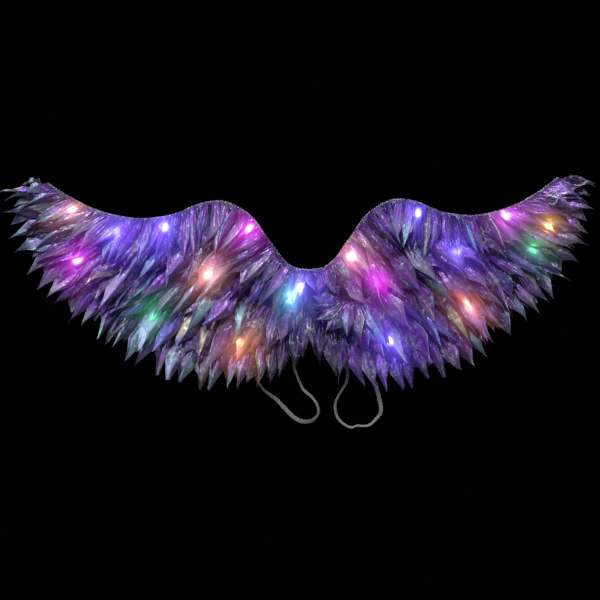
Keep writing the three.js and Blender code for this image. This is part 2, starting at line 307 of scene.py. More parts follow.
def add_node(
    tree: NodeTree,
    kind: str,
    settings: dict[str | int, object] | None = None,
    links: dict[str | int, object] | None = None,
) -> Node:
    """Adds a shader node with its settings and links.

    Args:
        tree: the node tree.
        kind: the node's type name, without the words that all shader nodes begin with.
        settings: values by the name or number of an input, or by the name of a property.
        links: what feeds its inputs, as in feed.

    Returns:
        The new node.
    """
    node = tree.nodes.new(f"ShaderNode{kind}")
    for name, value in (settings or {}).items():
        if isinstance(name, int) or name in node.inputs:
            node.inputs[name].default_value = value
        else:
            setattr(node, name, value)
    feed(node, links or {})
    return node


def remap(tree: NodeTree, value: object, over: Span = (0.0, 1.0), to: Span = (0.0, 1.0)) -> Node:
    """Adds a node that maps a value from one span to another and holds it to the ends.

    Args:
        tree: the node tree.
        value: what feeds it, as in feed.
        over: the span that is read.
        to: the span that is given.

    Returns:
        The new node.
    """
    settings = {"From Min": over[0], "From Max": over[1], "To Min": to[0], "To Max": to[1]}
    return add_node(tree, "MapRange", settings, {"Value": value})


def mix_colours(tree: NodeTree, share: Node, low: str, high: str) -> Node:
    """Adds a node that mixes two sRGB colours, the second by a share."""
    settings = {"data_type": "RGBA", 6: socket_colour(low), 7: socket_colour(high)}
    return add_node(tree, "Mix", settings, {0: share})


def times(tree: NodeTree, first: object, second: object) -> Node:
    """Adds a node that multiplies two values."""
    return add_node(tree, "Math", {"operation": "MULTIPLY"}, {0: first, 1: second})


def patchy(tree: NodeTree, place: Node, size_mm: float, detail: float = 2.0, distortion: float = 0.0) -> Node:
    """Adds a noise in patches on the object.

    Args:
        tree: the node tree.
        place: its texture coordinates.
        size_mm: about how wide a patch is.
        detail: how many finer layers the noise has.
        distortion: how far the patches are pulled out of shape.

    Returns:
        The new node.
    """
    settings = {"Scale": 1 / (size_mm * MM), "Detail": detail, "Distortion": distortion}
    return add_node(tree, "TexNoise", settings, {"Vector": (place, "Object")})


def start_material(name: str, settings: dict[str, object]) -> tuple[Material, Node]:
    """A material with a Principled shader and its constant values.

    Args:
        name: the material's name.
        settings: values of the shader's inputs by name.

    Returns:
        The material and its shader node.
    """
    material = bpy.data.materials.new(name)
    material.use_nodes = True
    shader = material.node_tree.nodes["Principled BSDF"]
    for key, value in settings.items():
        shader.inputs[key].default_value = value
    return material, shader


class Side(Enum):
    """The two wings, named as seen from the ruffled side."""

    LEFT = "left"
    RIGHT = "right"

    @property
    def sign(self) -> int:
        """The direction of the wing's tip along X."""
        return -1 if self is Side.LEFT else 1

    @property
    def taper(self) -> float:
        """How far the wing draws in towards its tip."""
        return 0.0 if self is Side.LEFT else 0.05

    @property
    def lift(self) -> float:
        """How far the wing rises for each millimetre outwards."""
        return 0.0 if self is Side.LEFT else 0.02

    @property
    def first_leaf(self) -> float:
        """How many pitches from its row's start the first leaf is sewn."""
        return 0.9 if self is Side.LEFT else 0.2

    @property
    def shifting(self) -> float:
        """The share of its leaves whose colour is painted with a shifted iridescent sheen."""
        return 0.85 if self is Side.LEFT else 0.6

    @property
    def teal_tip(self) -> float:
        """The share of the leaves at its tip whose painted sheen is teal whatever their draw."""
        return 0.6 if self is Side.LEFT else 0.0

    @property
    def tip_shift(self) -> float:
        """How far the painted sheen of the leaves at its tip shifts their colour, beside the others'."""
        return 1.0 if self is Side.LEFT else 0.35

    @property
    def tip_grey(self) -> float:
        """How grey its cloth looks towards the tips of its outermost leaves."""
        return 1.0 if self is Side.LEFT else 0.3

    @property
    def sheer(self) -> str:
        """The colour of its cloth where a single layer hangs over the dark."""
        return "5a6278" if self is Side.LEFT else "564a6c"


class LampColour(Enum):
    """The colours of the lamps."""

    CYAN = "5fe2e0"
    VIOLET = "7652ff"
    MAGENTA = "f03cf0"
    CORAL = "ffa587"
    AMBER = "ffa059"
    GREEN = "54d890"
    WARM = "ffc890"
    PINK = "f26af8"

    @property
    def core(self) -> str:
        """The colour of the cloth right over the lamp, where its light is strongest."""
        cores = {
            LampColour.CYAN: "b8fff4",
            LampColour.GREEN: "6cffb0",
            LampColour.AMBER: "ffd890",
            LampColour.CORAL: "ffe0b8",
            LampColour.MAGENTA: "ffd8ff",
            LampColour.WARM: "fff0cc",
        }
        return cores.get(self, "f0ecff")


@dataclass(frozen=True)
class LampSpot:
    """A lamp's place on its wing in millimetres, its colour, and how strong and wide its light is."""

    x: float
    z: float
    colour: LampColour
    power: float = 1.0
    spread: float = 1.0
    cast: str = ""  # the colour of its patch of light, where the cloth changes it
    bare: float = 1.0  # how much of the lamp itself shows through
    drop: float = 0.0  # how far below the lamp its patch lies, where the cloth over it hangs free

    @property
    def patch(self) -> Array:
        """The linear colour of its patch of light in the cloth."""
        return linear(self.cast or self.colour.value)


# Lamps of each wing in the order of the lead.
LAMPS: dict[Side, tuple[LampSpot, ...]] = {
    Side.LEFT: (
        LampSpot(-27, 24, LampColour.CYAN, 1.15, 0.75, "52dccc", 0.55),
        LampSpot(-12, 36, LampColour.VIOLET, 1.1, 1.3, bare=0.9),
        LampSpot(-88.5, 126, LampColour.MAGENTA, 1.15, 1.05, bare=1.35),
        LampSpot(-153, 55.5, LampColour.CORAL, 1.05, 0.98, bare=1.2),
        LampSpot(-78, -41.5, LampColour.AMBER, 0.1, bare=0.2),
        LampSpot(-103.5, -46, LampColour.AMBER, 0.78, 1.1, "ff966c", 0.75, 11),
        LampSpot(-237, -4.5, LampColour.GREEN, 0.65, 0.95),
        LampSpot(-216, 129, LampColour.VIOLET, 0.95, 1.6),
        LampSpot(-286.5, 118.5, LampColour.VIOLET, 0.95, 1.6, bare=0.25),
        LampSpot(-352.5, 153, LampColour.WARM, 0.9, 0.9, "ff9c80", 2.8),
        LampSpot(-347, 76, LampColour.MAGENTA, 1.1, bare=2.0),
    ),
    Side.RIGHT: (
        LampSpot(66, 87, LampColour.WARM, 1.0, 1.15, "f89cb4", 2.0),
        LampSpot(163.5, 150.5, LampColour.VIOLET, 0.9, 1.1, bare=1.3),
        LampSpot(99, 43.5, LampColour.MAGENTA, 0.95, 1.0, "ea14ea", 0.05),
        LampSpot(123, -42, LampColour.VIOLET, 0.74, 1.65, bare=1.25),
        LampSpot(240, 9, LampColour.CORAL, 0.82, 1.1, "ff8676", 0.6),
        LampSpot(222, 90, LampColour.VIOLET, 0.9, 1.15, bare=0.25),
        LampSpot(297, 144, LampColour.PINK, 1.0, bare=1.5),
        LampSpot(334.5, 96, LampColour.GREEN, 0.62, 0.9, bare=1.2),
        LampSpot(356.5, 129.5, LampColour.AMBER, 0.8, 0.8, "ffac4c", 2.3),
    ),
}


@dataclass(frozen=True)
class WingShape:
    """The flat layout of both wings, from centre to tip: top edge points and the feather tips below them."""

    edge_out: tuple[float, ...] = (
        *(0, 31.5, 61.5, 88.5, 126, 163.5, 205.5),
        *(253.5, 295.5, 328.5, 355.5, 378, 396),
    )
    edge_up: tuple[float, ...] = (
        *(62.5, 70.8, 107.5, 143.5, 164.5, 161.5, 145),
        *(139, 145, 155.5, 169, 182.5, 194.5),
    )
    tip_out: tuple[float, ...] = (0, 34, 90, 150, 211, 264, 318, 366, 400, 425, 443, 454, 435)
    tip_up: tuple[float, ...] = (-66, -99, -115, -116.5, -100, -73.5, -34.5, -8, 32, 71, 110, 153, 186)
    edge_room: float = 8.0  # the longest way down a feather line that leads clear of the edge
    nudge: float = 0.01  # stations to each side, for the edge's direction at a place

    @property
    def last(self) -> int:
        """The number of the wing tip's station."""
        return len(self.edge_out) - 1

    def _line(self, out: tuple[float, ...], up: tuple[float, ...], station: Array) -> Array:
        """A smooth line through one point of each station, mirrored across the middle.

        Args:
            out: the points' distances from the middle.
            up: their heights.
            station: where to read the line.

        Returns:
            The line's points as out and up.
        """
        half = np.stack([out, up], axis=-1)
        mirrored = half[:0:-1] * (-1, 1)
        return smooth_line(np.vstack([mirrored, half]), station + self.last, flared=False)

    def feathers(self, station: Array) -> tuple[Array, Array, Array]:
        """The feather lines at some stations, each from the top edge towards the tip below it.

        Args:
            station: station numbers in any shape.

        Returns:
            The points on the edge, the unit directions and the lengths.
        """
        edge = self._line(self.edge_out, self.edge_up, station)
        reach = self._line(self.tip_out, self.tip_up, station) - edge
        return edge, unit(reach), np.linalg.norm(reach, axis=-1)

    def _edge_step(self, station: Array) -> Array:
        """The way along the top edge, outwards, from a nudge before each station to a nudge after it."""
        ahead = self._line(self.edge_out, self.edge_up, station + self.nudge)
        behind = self._line(self.edge_out, self.edge_up, station - self.nudge)
        return ahead - behind

    def edge_direction(self, station: Array) -> Array:
        """Unit vectors along the top edge, outwards."""
        return unit(self._edge_step(station))

    def edge_pace(self, station: Array) -> Array:
        """Millimetres along the top edge for each station."""
        return np.linalg.norm(self._edge_step(station), axis=-1) / (2 * self.nudge)

    def below_edge(self, station: Array, clear: float) -> Array:
        """How far down a feather line clears the top edge: clear / |along x direction|, up to edge_room.

        Args:
            station: station numbers.
            clear: the clear distance.

        Returns:
            Distances along the feather lines.
        """
        along = self.edge_direction(station)
        direction = self.feathers(station)[1]
        turn = along[..., 0] * direction[..., 1] - along[..., 1] * direction[..., 0]
        return np.minimum(clear / np.abs(turn), self.edge_room)

    def lay(self, side: Side, flat: Array, y: Array | float) -> Array:
        """Lays flat points on one wing: out drawn in by taper * out / half span, and up raised by lift * out.

        Args:
            side: the wing.
            flat: points as out and up.
            y: their Y.

        Returns:
            The points, with X, Y and Z last.
        """
        out = flat[..., 0] * (1 - side.taper * flat[..., 0] / self.edge_out[-1])
        up = flat[..., 1] + side.lift * out
        return np.stack([side.sign * (out + SEAT_GAP / 2), np.broadcast_to(y, out.shape), up], axis=-1)

    def place(self, side: Side, station: Array, distance: Array, y: Array | float) -> Array:
        """Points of one wing, the given distance down the feather lines from its top edge.

        Args:
            side: the wing.
            station: station numbers.
            distance: distances along the feather lines.
            y: the points' Y.

        Returns:
            The points, in the shape of the station numbers with X, Y and Z last.
        """
        edge, direction, _ = self.feathers(station)
        return self.lay(side, edge + direction * np.asarray(distance)[..., None], y)


WING = WingShape()


@dataclass(frozen=True)
class Stretches:
    """Stretches of stations, counted from the middle of the back, over which the leaves change."""

    inner_end: Span = (0.6, 2.6)  # the darker inner end gives way
    short_inner: Span = (0.8, 2.2)  # the right wing's shorter top leaves gain their length
    hump: Span = (1.0, 2.5)  # the finer leaves of the hump begin
    past_hump: Span = (6.5, 8.5)  # and end
    lean: Span = (3.0, 9.0)  # the leaves lean less
    fan: Span = (6.0, 8.5)  # they turn from square to the edge to the feather line
    tip_turn: Span = (6.5, 9.5)  # they turn outwards
    wide_tip: Span = (7.5, 9.5)  # they grow wider
    sheer_tip: Span = (8.0, 9.5)  # a single layer hangs over the dark
    short_tip: Span = (9.6, 11.2)  # they grow shorter


STRETCHES = Stretches()


@dataclass(frozen=True)
class LampGlow:
    """The light of the lamps in the cloth over them: a hot core, a coloured patch and a wide faint halo."""

    core_radius: float = 3.8
    core_strength: float = 2.6
    patch_radius: float = 13.0
    patch_strength: float = 0.62
    halo_radius: float = 28.0
    halo_strength: float = 0.28
    stretch: float = 1.35  # the light runs this much further along a leaf than across it

    def on(self, points: Array, grain: Array) -> Array:
        """The glow at points of the cloth.

        For a lamp at distance r in the wing's plane it is power * (bare * core * exp(-(r / core radius)^2)
        in the core's colour + patch * exp(-(r / patch radius)^2) + halo * exp(-(r / halo radius)^2)),
        summed over the lamps. Along the leaf r is divided by the stretch. The patch and the halo are
        widened by the lamp's spread, and lie its drop below it.

        Args:
            points: points in millimetres, one in each row.
            grain: for each point, the leaf's direction as a unit vector in X and Z.

        Returns:
            Linear RGB for each point.
        """
        glow = np.zeros((len(points), 3))
        for spot in [spot for spots in LAMPS.values() for spot in spots]:
            near = self.away(points, grain, spot.x, spot.z)
            wide = self.away(points, grain, spot.x, spot.z - spot.drop) / spot.spread
            core = spot.bare * self.core_strength * np.exp(-((near / self.core_radius) ** 2))
            patch = self.patch_strength * np.exp(-((wide / self.patch_radius) ** 2))
            halo = self.halo_strength * np.exp(-((wide / self.halo_radius) ** 2))
            hot = linear(spot.colour.core)
            glow += spot.power * (core[:, None] * hot + (patch + halo)[:, None] * spot.patch)
        return glow

    def away(self, points: Array, grain: Array, x: float, z: float) -> Array:
        """Each point's distance from a place in the wing's plane, shortened by the stretch along the leaf.

        Args:
            points: points in millimetres, one in each row.
            grain: for each point, the leaf's direction as a unit vector in X and Z.
            x: the place's X.
            z: its Z.

        Returns:
            A distance for each point.
        """
        offset = points[:, [0, 2]] - (x, z)
        along = (offset * grain).sum(axis=1) / self.stretch
        across = offset[:, 0] * grain[:, 1] - offset[:, 1] * grain[:, 0]
        return np.hypot(along, across)


GLOW = LampGlow()


class FilmShift(Enum):
    """The colours of the painted iridescent sheen that the cloth's film shifts to, each with the share of the
    leaves that draw it.
    """

    SILVER = ("b0aecc", 0.42)
    TEAL = ("92ccd8", 0.22)
    MINT = ("8ed2ba", 0.06)
    CREAM = ("d8d2b0", 0.14)
    ORCHID = ("c496d2", 0.06)
    BLUE = ("747ade", 0.1)

    @property
    def colour(self) -> Array:
        """The linear colour."""
        return linear(self.value[0])

    @property
    def odds(self) -> float:
        """The share of the leaves that draw it."""
        return self.value[1]

    @property
    def faint_at_hem(self) -> bool:
        """Whether a single layer over the dark is too thin to show it."""
        return self in (FilmShift.ORCHID, FilmShift.BLUE)


@dataclass(frozen=True)
class IridescentLame:
    """Crushed polyester lame: a thin woven film that shifts from violet to silver, teal, mint and cream.

    The film is partly a mirror, so folds show as bright and dark facets. Its fine lengthwise crush breaks
    each highlight into streaks and sparkle. Besides the shader's own gloss, much of this is painted into its
    colour: the facets' light and shade, shade in valleys and on the leaves behind, streaks, sparkle, glints,
    silver rims and a sheen of the film's other colours.
    """

    name: str = "iridescent_polyester_lame"
    deep: str = "3e1c6e"
    violet: str = "7239b0"
    lavender: str = "a678cc"
    # silver is also the colour of the painted glints and highlights
    silver: str = "dad8e2"
    crush_mm: Span = (3.2, 20.0)
    thread_mm: float = 1.1  # real threads are 0.2 mm apart; drawn coarser to show
    sparkle_mm: float = 1.4
    crease_mm: float = 9.0
    gathered_mm: Span = (4.0, 13.0)  # the gathers at a head, with their painted light and shade, fade out between these distances
    crinkle_mm: float = 2.2
    # colours of the painted glints along the crinkles
    glint_colours: tuple[str, str] = ("98dccc", "e2e0e2")
    wisp_mm: Span = (9.0, 17.0)
    wisp_patch_mm: float = 20.0
    film_nanometres: Span = (330.0, 560.0)  # it varies, so highlights change hue
    film_patch_mm: float = 16.0
    gloss: Span = (0.27, 0.55)  # the roughness that the crush varies

    # How the colour, with its painted sheen, light and shade, varies over the leaves.
    depth_draw: Span = (1.5, 1.7)  # the beta distribution of a leaf's depth of colour
    patch_at: Span = (0.45, 1.0)  # where along a leaf its shifted patch is centred
    patch_wide: Span = (0.25, 0.6)
    patch_both: float = 0.6  # how much of the patch lies on both sides of the crease
    shift_by: Span = (0.45, 1.0)  # how far the film of a shifting leaf goes
    shift_least: float = 0.1  # and that of the others
    tip_from: float = 8.5  # the station beyond which a leaf is one of the wing tip's
    swirl_dim: float = 0.4  # the share of the inner end's darkness that is left where the leaves swirl
    grey_along: Span = (0.35, 0.8)  # the stretch of a leaf over which it turns grey
    grey_by: Span = (0.4, 1.0)
    grey_shift: float = 0.5  # how much of its shift the grey takes away
    grey_shade: float = 0.2  # and how much of its light
    valley: float = 0.68  # painted shade: how light a valley is drawn beside the ridge
    facet_light: Span = (0.05, 0.38)  # painted light: how much paler one side of the crease is drawn than the other
    behind: float = 0.8  # painted shade: how pale the leaves behind are drawn beside those in front
    # painted highlight on the cut rims: where it starts across the leaf, and how much silver it takes
    rim_from: float = 0.86
    rim_highlight: float = 0.4

    def material(self) -> Material:
        """The cloth: tint and glow attributes (the glow is the lamps' painted light), painted streaks,
        sparkle and crinkle glints in colour, and gloss and relief.
        """
        material, shader = start_material(
            self.name,
            {
                "Metallic": 0.55, "IOR": 1.55, "Sheen Weight": 0.15, "Sheen Roughness": 0.4,
                "Sheen Tint": socket_colour(self.lavender), "Thin Film IOR": 1.7, "Emission Strength": 1.0,
            },
        )
        tree = material.node_tree
        glow = add_node(tree, "Attribute", {"attribute_name": "glow"})
        place = add_node(tree, "TexCoord")
        narrow = add_node(
            tree, "Mapping", {"Scale": (1 / self.crush_mm[0], 1 / self.crush_mm[1], 1.0)},
            {"Vector": (place, "UV")},
        )
        crush = add_node(
            tree, "TexNoise", {"Scale": 1.0, "Detail": 3.0, "Roughness": 0.6}, {"Vector": narrow}
        )
        sparkled = self._sparkled_tint(tree, place, crush)
        wispy, wisp = self._crinkle_glints(tree, place)
        colour = add_node(tree, "Mix", {"data_type": "RGBA"}, {0: wispy, 6: (sparkled, 2), 7: (wisp, 2)})
        gloss = remap(tree, crush, to=self.gloss)
        uneven = patchy(tree, place, self.film_patch_mm, 1.0)
        film = remap(tree, uneven, (0.35, 0.65), self.film_nanometres)
        relief = self._relief(tree, place, crush)
        feed(shader, {"Base Color": (colour, 2), "Roughness": gloss, "Thin Film Thickness": film})
        feed(shader, {"Normal": relief, "Emission Color": glow})
        return material

    def _sparkled_tint(self, tree: NodeTree, place: Node, crush: Node) -> Node:
        """The tint, with painted streaks of light and shade along the crush, a fine speckle, painted light
        and shade of the puckers at the head, and painted silver glints where ridges sparkle.

        Args:
            tree: the cloth's node tree.
            place: its texture coordinates.
            crush: the noise of its lengthwise crush.

        Returns:
            The node that gives the colour.
        """
        tint = add_node(tree, "Attribute", {"attribute_name": "tint"})
        cells = add_node(tree, "TexVoronoi", {"Scale": 1 / self.sparkle_mm}, {"Vector": (place, "UV")})
        draw = add_node(tree, "SeparateColor", links={0: (cells, "Color")})
        glints = remap(tree, (draw, 0), (0.8, 1.0), (0.0, 0.36))
        ridges = remap(tree, crush, (0.5, 0.66))
        sparkle = times(tree, glints, ridges)
        # painted light and shade: streaks along the crush's creases
        streaks = remap(tree, crush, (0.3, 0.7), (0.9, 1.1))
        speckle = remap(tree, (draw, 1), to=(0.9, 1.1))
        streak_shade_and_speckle = times(tree, streaks, speckle)
        down = add_node(tree, "SeparateXYZ", links={0: (place, "UV")})
        sewn = remap(tree, (down, "Y"), self.gathered_mm, (1.0, 0.0))
        crinkle = add_node(
            tree, "TexNoise", {"Scale": 1 / self.crinkle_mm, "Detail": 2.0}, {"Vector": (place, "UV")}
        )
        # painted light and shade of the puckers at the head
        pucker_shade = remap(tree, crinkle, (0.36, 0.64), (0.3, 1.6))
        gathers = add_node(tree, "Mix", {2: 1.0}, {0: sewn, 3: pucker_shade})
        grain = times(tree, streak_shade_and_speckle, gathers)
        streaked = add_node(
            tree, "Mix", {"data_type": "RGBA", "blend_type": "MULTIPLY", 0: 1.0}, {6: tint, 7: grain}
        )
        return add_node(
            tree, "Mix", {"data_type": "RGBA", 7: socket_colour(self.silver)},
            {0: sparkle, 6: (streaked, 2)},
        )

    def _crinkle_glints(self, tree: NodeTree, place: Node) -> tuple[Node, Node]:
        """Painted glints: thin crinkle lines of highlight where a stretched noise crosses its middle value,
        in patches and in two colours.

        Args:
            tree: the cloth's node tree.
            place: its texture coordinates.

        Returns:
            The nodes that give how much of a painted glint there is, and its colour.
        """
        stretched = add_node(
            tree, "Mapping", {"Scale": (1 / self.wisp_mm[0], 1 / self.wisp_mm[1], 1.0)},
            {"Vector": (place, "UV")},
        )
        wrinkles = add_node(
            tree, "TexNoise", {"Scale": 1.0, "Detail": 2.0, "Distortion": 1.2}, {"Vector": stretched}
        )
        to_middle = add_node(tree, "Math", {"operation": "PINGPONG", 1: 0.5}, {0: wrinkles})
        lines = remap(tree, to_middle, (0.455, 0.495))
        spots = patchy(tree, place, self.wisp_patch_mm, 1.0)
        spotted = remap(tree, spots, (0.48, 0.6), (0.0, 0.54))
        draw = add_node(tree, "SeparateColor", links={0: (spots, "Color")})
        hue = remap(tree, (draw, 1), (0.4, 0.6))
        return times(tree, lines, spotted), mix_colours(tree, hue, *self.glint_colours)

    def _relief(self, tree: NodeTree, place: Node, crush: Node) -> Node:
        """The bump: threads across the leaf, the crush along it and larger creases.

        Args:
            tree: the cloth's node tree.
            place: its texture coordinates.
            crush: the noise of its lengthwise crush.

        Returns:
            The node that gives the normal.
        """
        spacing = np.pi / (10 * self.thread_mm)
        threads = add_node(
            tree, "TexWave",
            {"Scale": spacing, "Distortion": 1.5, "Detail": 1.0, "bands_direction": "Y"},
            {"Vector": (place, "UV")},
        )
        creases = patchy(tree, place, self.crease_mm, distortion=0.6)
        woven = add_node(tree, "Bump", {"Strength": 0.1, "Distance": 0.0003}, {"Height": (threads, "Fac")})
        crushed = add_node(
            tree, "Bump", {"Strength": 0.22, "Distance": 0.0018}, {"Height": crush, "Normal": woven}
        )
        return add_node(
            tree, "Bump", {"Strength": 0.24, "Distance": 0.004}, {"Height": creases, "Normal": crushed}
        )

    def shift_colours(self, rng: np.random.Generator, station: Array, row: RuffleRow, side: Side) -> Array:
        """The painted sheen colour that the film of each leaf shifts to.

        It is drawn by the shifts' odds. A share of the leaves at the wing tip take teal whatever their
        draw, and so do those of a sheer row whose draw is too faint to show there.

        Args:
            rng: the row's random draws.
            station: the leaves' stations.
            row: their row.
            side: its wing.

        Returns:
            Linear RGB for each leaf.
        """
        shifts = list(FilmShift)
        choice = rng.choice(len(shifts), len(station), p=[shift.odds for shift in shifts])
        at_tip = (station > self.tip_from) & (rng.uniform(0, 1, len(station)) < side.teal_tip)
        faint = np.array([shift.faint_at_hem for shift in shifts])[choice] & (row.sheer > 0)
        choice = np.where(at_tip | faint, shifts.index(FilmShift.TEAL), choice)
        return np.array([shift.colour for shift in shifts])[choice]

    def leaf_colours(
        self, rng: np.random.Generator, leaves: Leaves, dye: Array, row: RuffleRow, side: Side
    ) -> Array:
        """The film's colour over a row of leaves.

        Each leaf lies between deep violet and lavender by a draw of its own, and some shift towards one of
        the film's other colours as a painted iridescent sheen, more on one side of their crease, in a patch
        along the leaf. Where a single layer hangs over the dark, at the hem and at the wing tips, it looks
        grey towards its tip and shifts less. One side of the crease is painted paler than the other as
        painted light, valleys and the leaves behind get painted shade, the row's inner end is darker, and cut
        rims get a painted silver highlight.

        Args:
            rng: the row's random draws.
            leaves: the leaves.
            dye: for each leaf, how far from the deepest violet its colour is drawn, less for the leaves
                behind as painted shade.
            row: the row that the leaves belong to.
            side: its wing.

        Returns:
            Linear RGB by leaf, row and column.
        """
        each = (len(leaves.across), 1, 1)
        deep, violet, lavender = linear(self.deep), linear(self.violet), linear(self.lavender)
        depth = (dye * rng.beta(*self.depth_draw, each))[..., None]
        darker = deep + (violet - deep) * 2 * depth
        paler = violet + (lavender - violet) * (2 * depth - 1)
        base = np.where(depth < 0.5, darker, paler)
        shift = self.shift_colours(rng, leaves.station.ravel(), row, side)[:, None, None]
        facing = rng.choice((-1.0, 1.0), each)
        lit = self.patch_both + (1 - self.patch_both) * facing * leaves.facet
        centre = rng.uniform(*self.patch_at, each)
        patch = np.exp(-(((leaves.along - centre) / rng.uniform(*self.patch_wide, each)) ** 2))
        shifting = rng.uniform(0, 1, each) < side.shifting
        dim = row.dim * (self.swirl_dim if row.swirl and side is Side.RIGHT else 1.0)
        lively = 1 - dim * (1 - smoothstep(leaves.station, *STRETCHES.inner_end))
        outer = smoothstep(leaves.station, *STRETCHES.sheer_tip)
        strength = np.where(shifting, rng.uniform(*self.shift_by, each), self.shift_least) * dye * lively
        strength = strength * (1 - (1 - side.tip_shift) * outer)
        sheer = np.maximum(row.sheer, side.tip_grey * outer)
        grey = sheer * smoothstep(leaves.along, *self.grey_along) * rng.uniform(*self.grey_by, each)
        base = base + (linear(side.sheer) - base) * grey[..., None]
        strength = strength * (1 - self.grey_shift * grey)
        # painted sheen: the shift colour in a patch along the leaf, more on one side of its crease
        colour = base + (shift - base) * (lit * patch * strength)[..., None]
        # painted shade: valleys darker than the ridge beside them
        shade = self.valley + (1 - self.valley) * smoothstep(leaves.fold, -1.0, 0.0)
        # painted light and shade: one side of each leaf's crease paler than the other
        shade = shade * (1 + rng.uniform(*self.facet_light, each) * facing * leaves.facet)
        # painted shade: the leaves behind darker than those in front
        shade = shade * np.where(leaves.front, 1.0, self.behind)
        shade = shade * lively * (1 - self.grey_shade * grey)
        # painted highlight: silver on the cut rims
        rim = self.rim_highlight * smoothstep(np.abs(leaves.across), self.rim_from, 1.0)
        rim = rim * rng.uniform(0, 1, each) * dye
        return colour * shade[..., None] + (linear(self.silver) - colour) * rim[..., None]


@dataclass(frozen=True)
class BackingCloth:
    """Plain-woven polyester taffeta, dull violet, whose fine weave shows as soft cross lines."""

    name: str = "violet_polyester_taffeta"
    colour: str = "5b4680"
    toned: str = "715c97"
    thread_mm: float = 1.4  # real threads are 0.3 mm apart; drawn coarser to show
    mottle_mm: float = 22.0

    def material(self) -> Material:
        """The cloth: two crossing thread waves as bump, a slow mottle in the dye, and the lamps' light
        painted in as a glow.
        """
        material, shader = start_material(
            self.name,
            {
                "Roughness": 0.72, "Sheen Weight": 0.35, "Sheen Roughness": 0.45, "IOR": 1.5,
                "Emission Strength": 0.6,
            },
        )
        tree = material.node_tree
        place = add_node(tree, "TexCoord")
        spacing = np.pi / (10 * self.thread_mm * MM)
        threads = [
            add_node(
                tree, "TexWave",
                {"Scale": spacing, "Distortion": 0.6, "Detail": 1.0, "bands_direction": axis},
                {"Vector": (place, "Object")},
            )
            for axis in ("X", "Z")
        ]
        weave = add_node(
            tree, "Math", {"operation": "MAXIMUM"}, {0: (threads[0], "Fac"), 1: (threads[1], "Fac")}
        )
        mottle = patchy(tree, place, self.mottle_mm, 4.0)
        dye = mix_colours(tree, mottle, self.colour, self.toned)
        bump = add_node(tree, "Bump", {"Strength": 0.35, "Distance": 0.0004}, {"Height": weave})
        glow = add_node(tree, "Attribute", {"attribute_name": "glow"})
        feed(shader, {"Base Color": (dye, 2), "Normal": bump, "Emission Color": glow})
        return material


@dataclass(frozen=True)
class BraidedElastic:
    """Braided polyester elastic, pale grey: fine ribs along the band, crossed by slanting picks."""

    name: str = "braided_polyester_elastic"
    colour: str = "9f9ea3"
    shade: str = "8a8a90"
    rib_mm: float = 1.0
    pick_mm: float = 1.5

    def material(self) -> Material:
        """The band: ribs and picks read from its own UV map, as bump and as a darker tone between them."""
        material, shader = start_material(
            self.name, {"Roughness": 0.8, "Sheen Weight": 0.3, "Sheen Roughness": 0.5, "IOR": 1.5}
        )
        tree = material.node_tree
        place = add_node(tree, "TexCoord")
        waves = [
            add_node(
                tree, "TexWave",
                {"Scale": np.pi / (10 * spacing), "Distortion": 0.4, "bands_direction": axis},
                {"Vector": (place, "UV")},
            )
            for spacing, axis in ((self.rib_mm, "X"), (self.pick_mm, "DIAGONAL"))
        ]
        braid = times(tree, (waves[0], "Fac"), (waves[1], "Fac"))
        tone = mix_colours(tree, braid, self.shade, self.colour)
        bump = add_node(tree, "Bump", {"Strength": 0.15, "Distance": 0.0003}, {"Height": braid})
        feed(shader, {"Base Color": (tone, 2), "Normal": bump})
        return material


@dataclass(frozen=True)
class MouldedPlastic:
    """Injection-moulded ABS or PVC: a smooth skin with a fine eroded grain and slight handling marks."""

    name: str
    colour: str
    roughness: float
    grain_mm: float = 0.9  # real grain is 0.1 mm; drawn coarser to show
    handled_mm: float = 50 / 3  # three marks to 50 mm
    handled_by: Span = (-0.1, 0.12)  # how far handling changes the roughness

    def material(self) -> Material:
        """The plastic: grain as bump, and a slow change of gloss from handling."""
        material, shader = start_material(
            self.name, {"Base Color": socket_colour(self.colour), "IOR": 1.53, "Specular IOR Level": 0.5}
        )
        tree = material.node_tree
        place = add_node(tree, "TexCoord")
        grain = patchy(tree, place, self.grain_mm)
        handled = patchy(tree, place, self.handled_mm, 3.0)
        smoother, rougher = self.handled_by
        gloss = remap(tree, handled, to=(self.roughness + smoother, self.roughness + rougher))
        bump = add_node(tree, "Bump", {"Strength": 0.15, "Distance": 0.0002}, {"Height": grain})
        feed(shader, {"Roughness": gloss, "Normal": bump})
        return material


@dataclass(frozen=True)
class LampLens:
    """Cast epoxy lens with a lit chip inside: clear and glossy, and brightest at its dome."""

    colour: LampColour
    strength: float = 9.0

    def material(self) -> Material:
        """The lens: its colour, with light that grows towards the dome."""
        name = f"epoxy_lens_{self.colour.name.lower()}"
        tint = socket_colour(self.colour.value)
        material, shader = start_material(
            name, {"Base Color": tint, "Roughness": 0.12, "IOR": 1.54, "Emission Strength": self.strength}
        )
        lit = add_node(material.node_tree, "Attribute", {"attribute_name": "glow"})
        feed(shader, {"Emission Color": lit})
        return material


@dataclass(frozen=True)
class LeafKind:
    """How one layer of leaves is cut and folded, in millimetres and shares of a leaf."""

    half_width: float
    head_width: float
    point_from: Span
    layer: float  # how far forward of the row's middle it lies
    fold: float
    dye: float  # share of the way from the deepest violet that its colour is drawn from; lower for the leaves behind, as painted shade between the front leaves
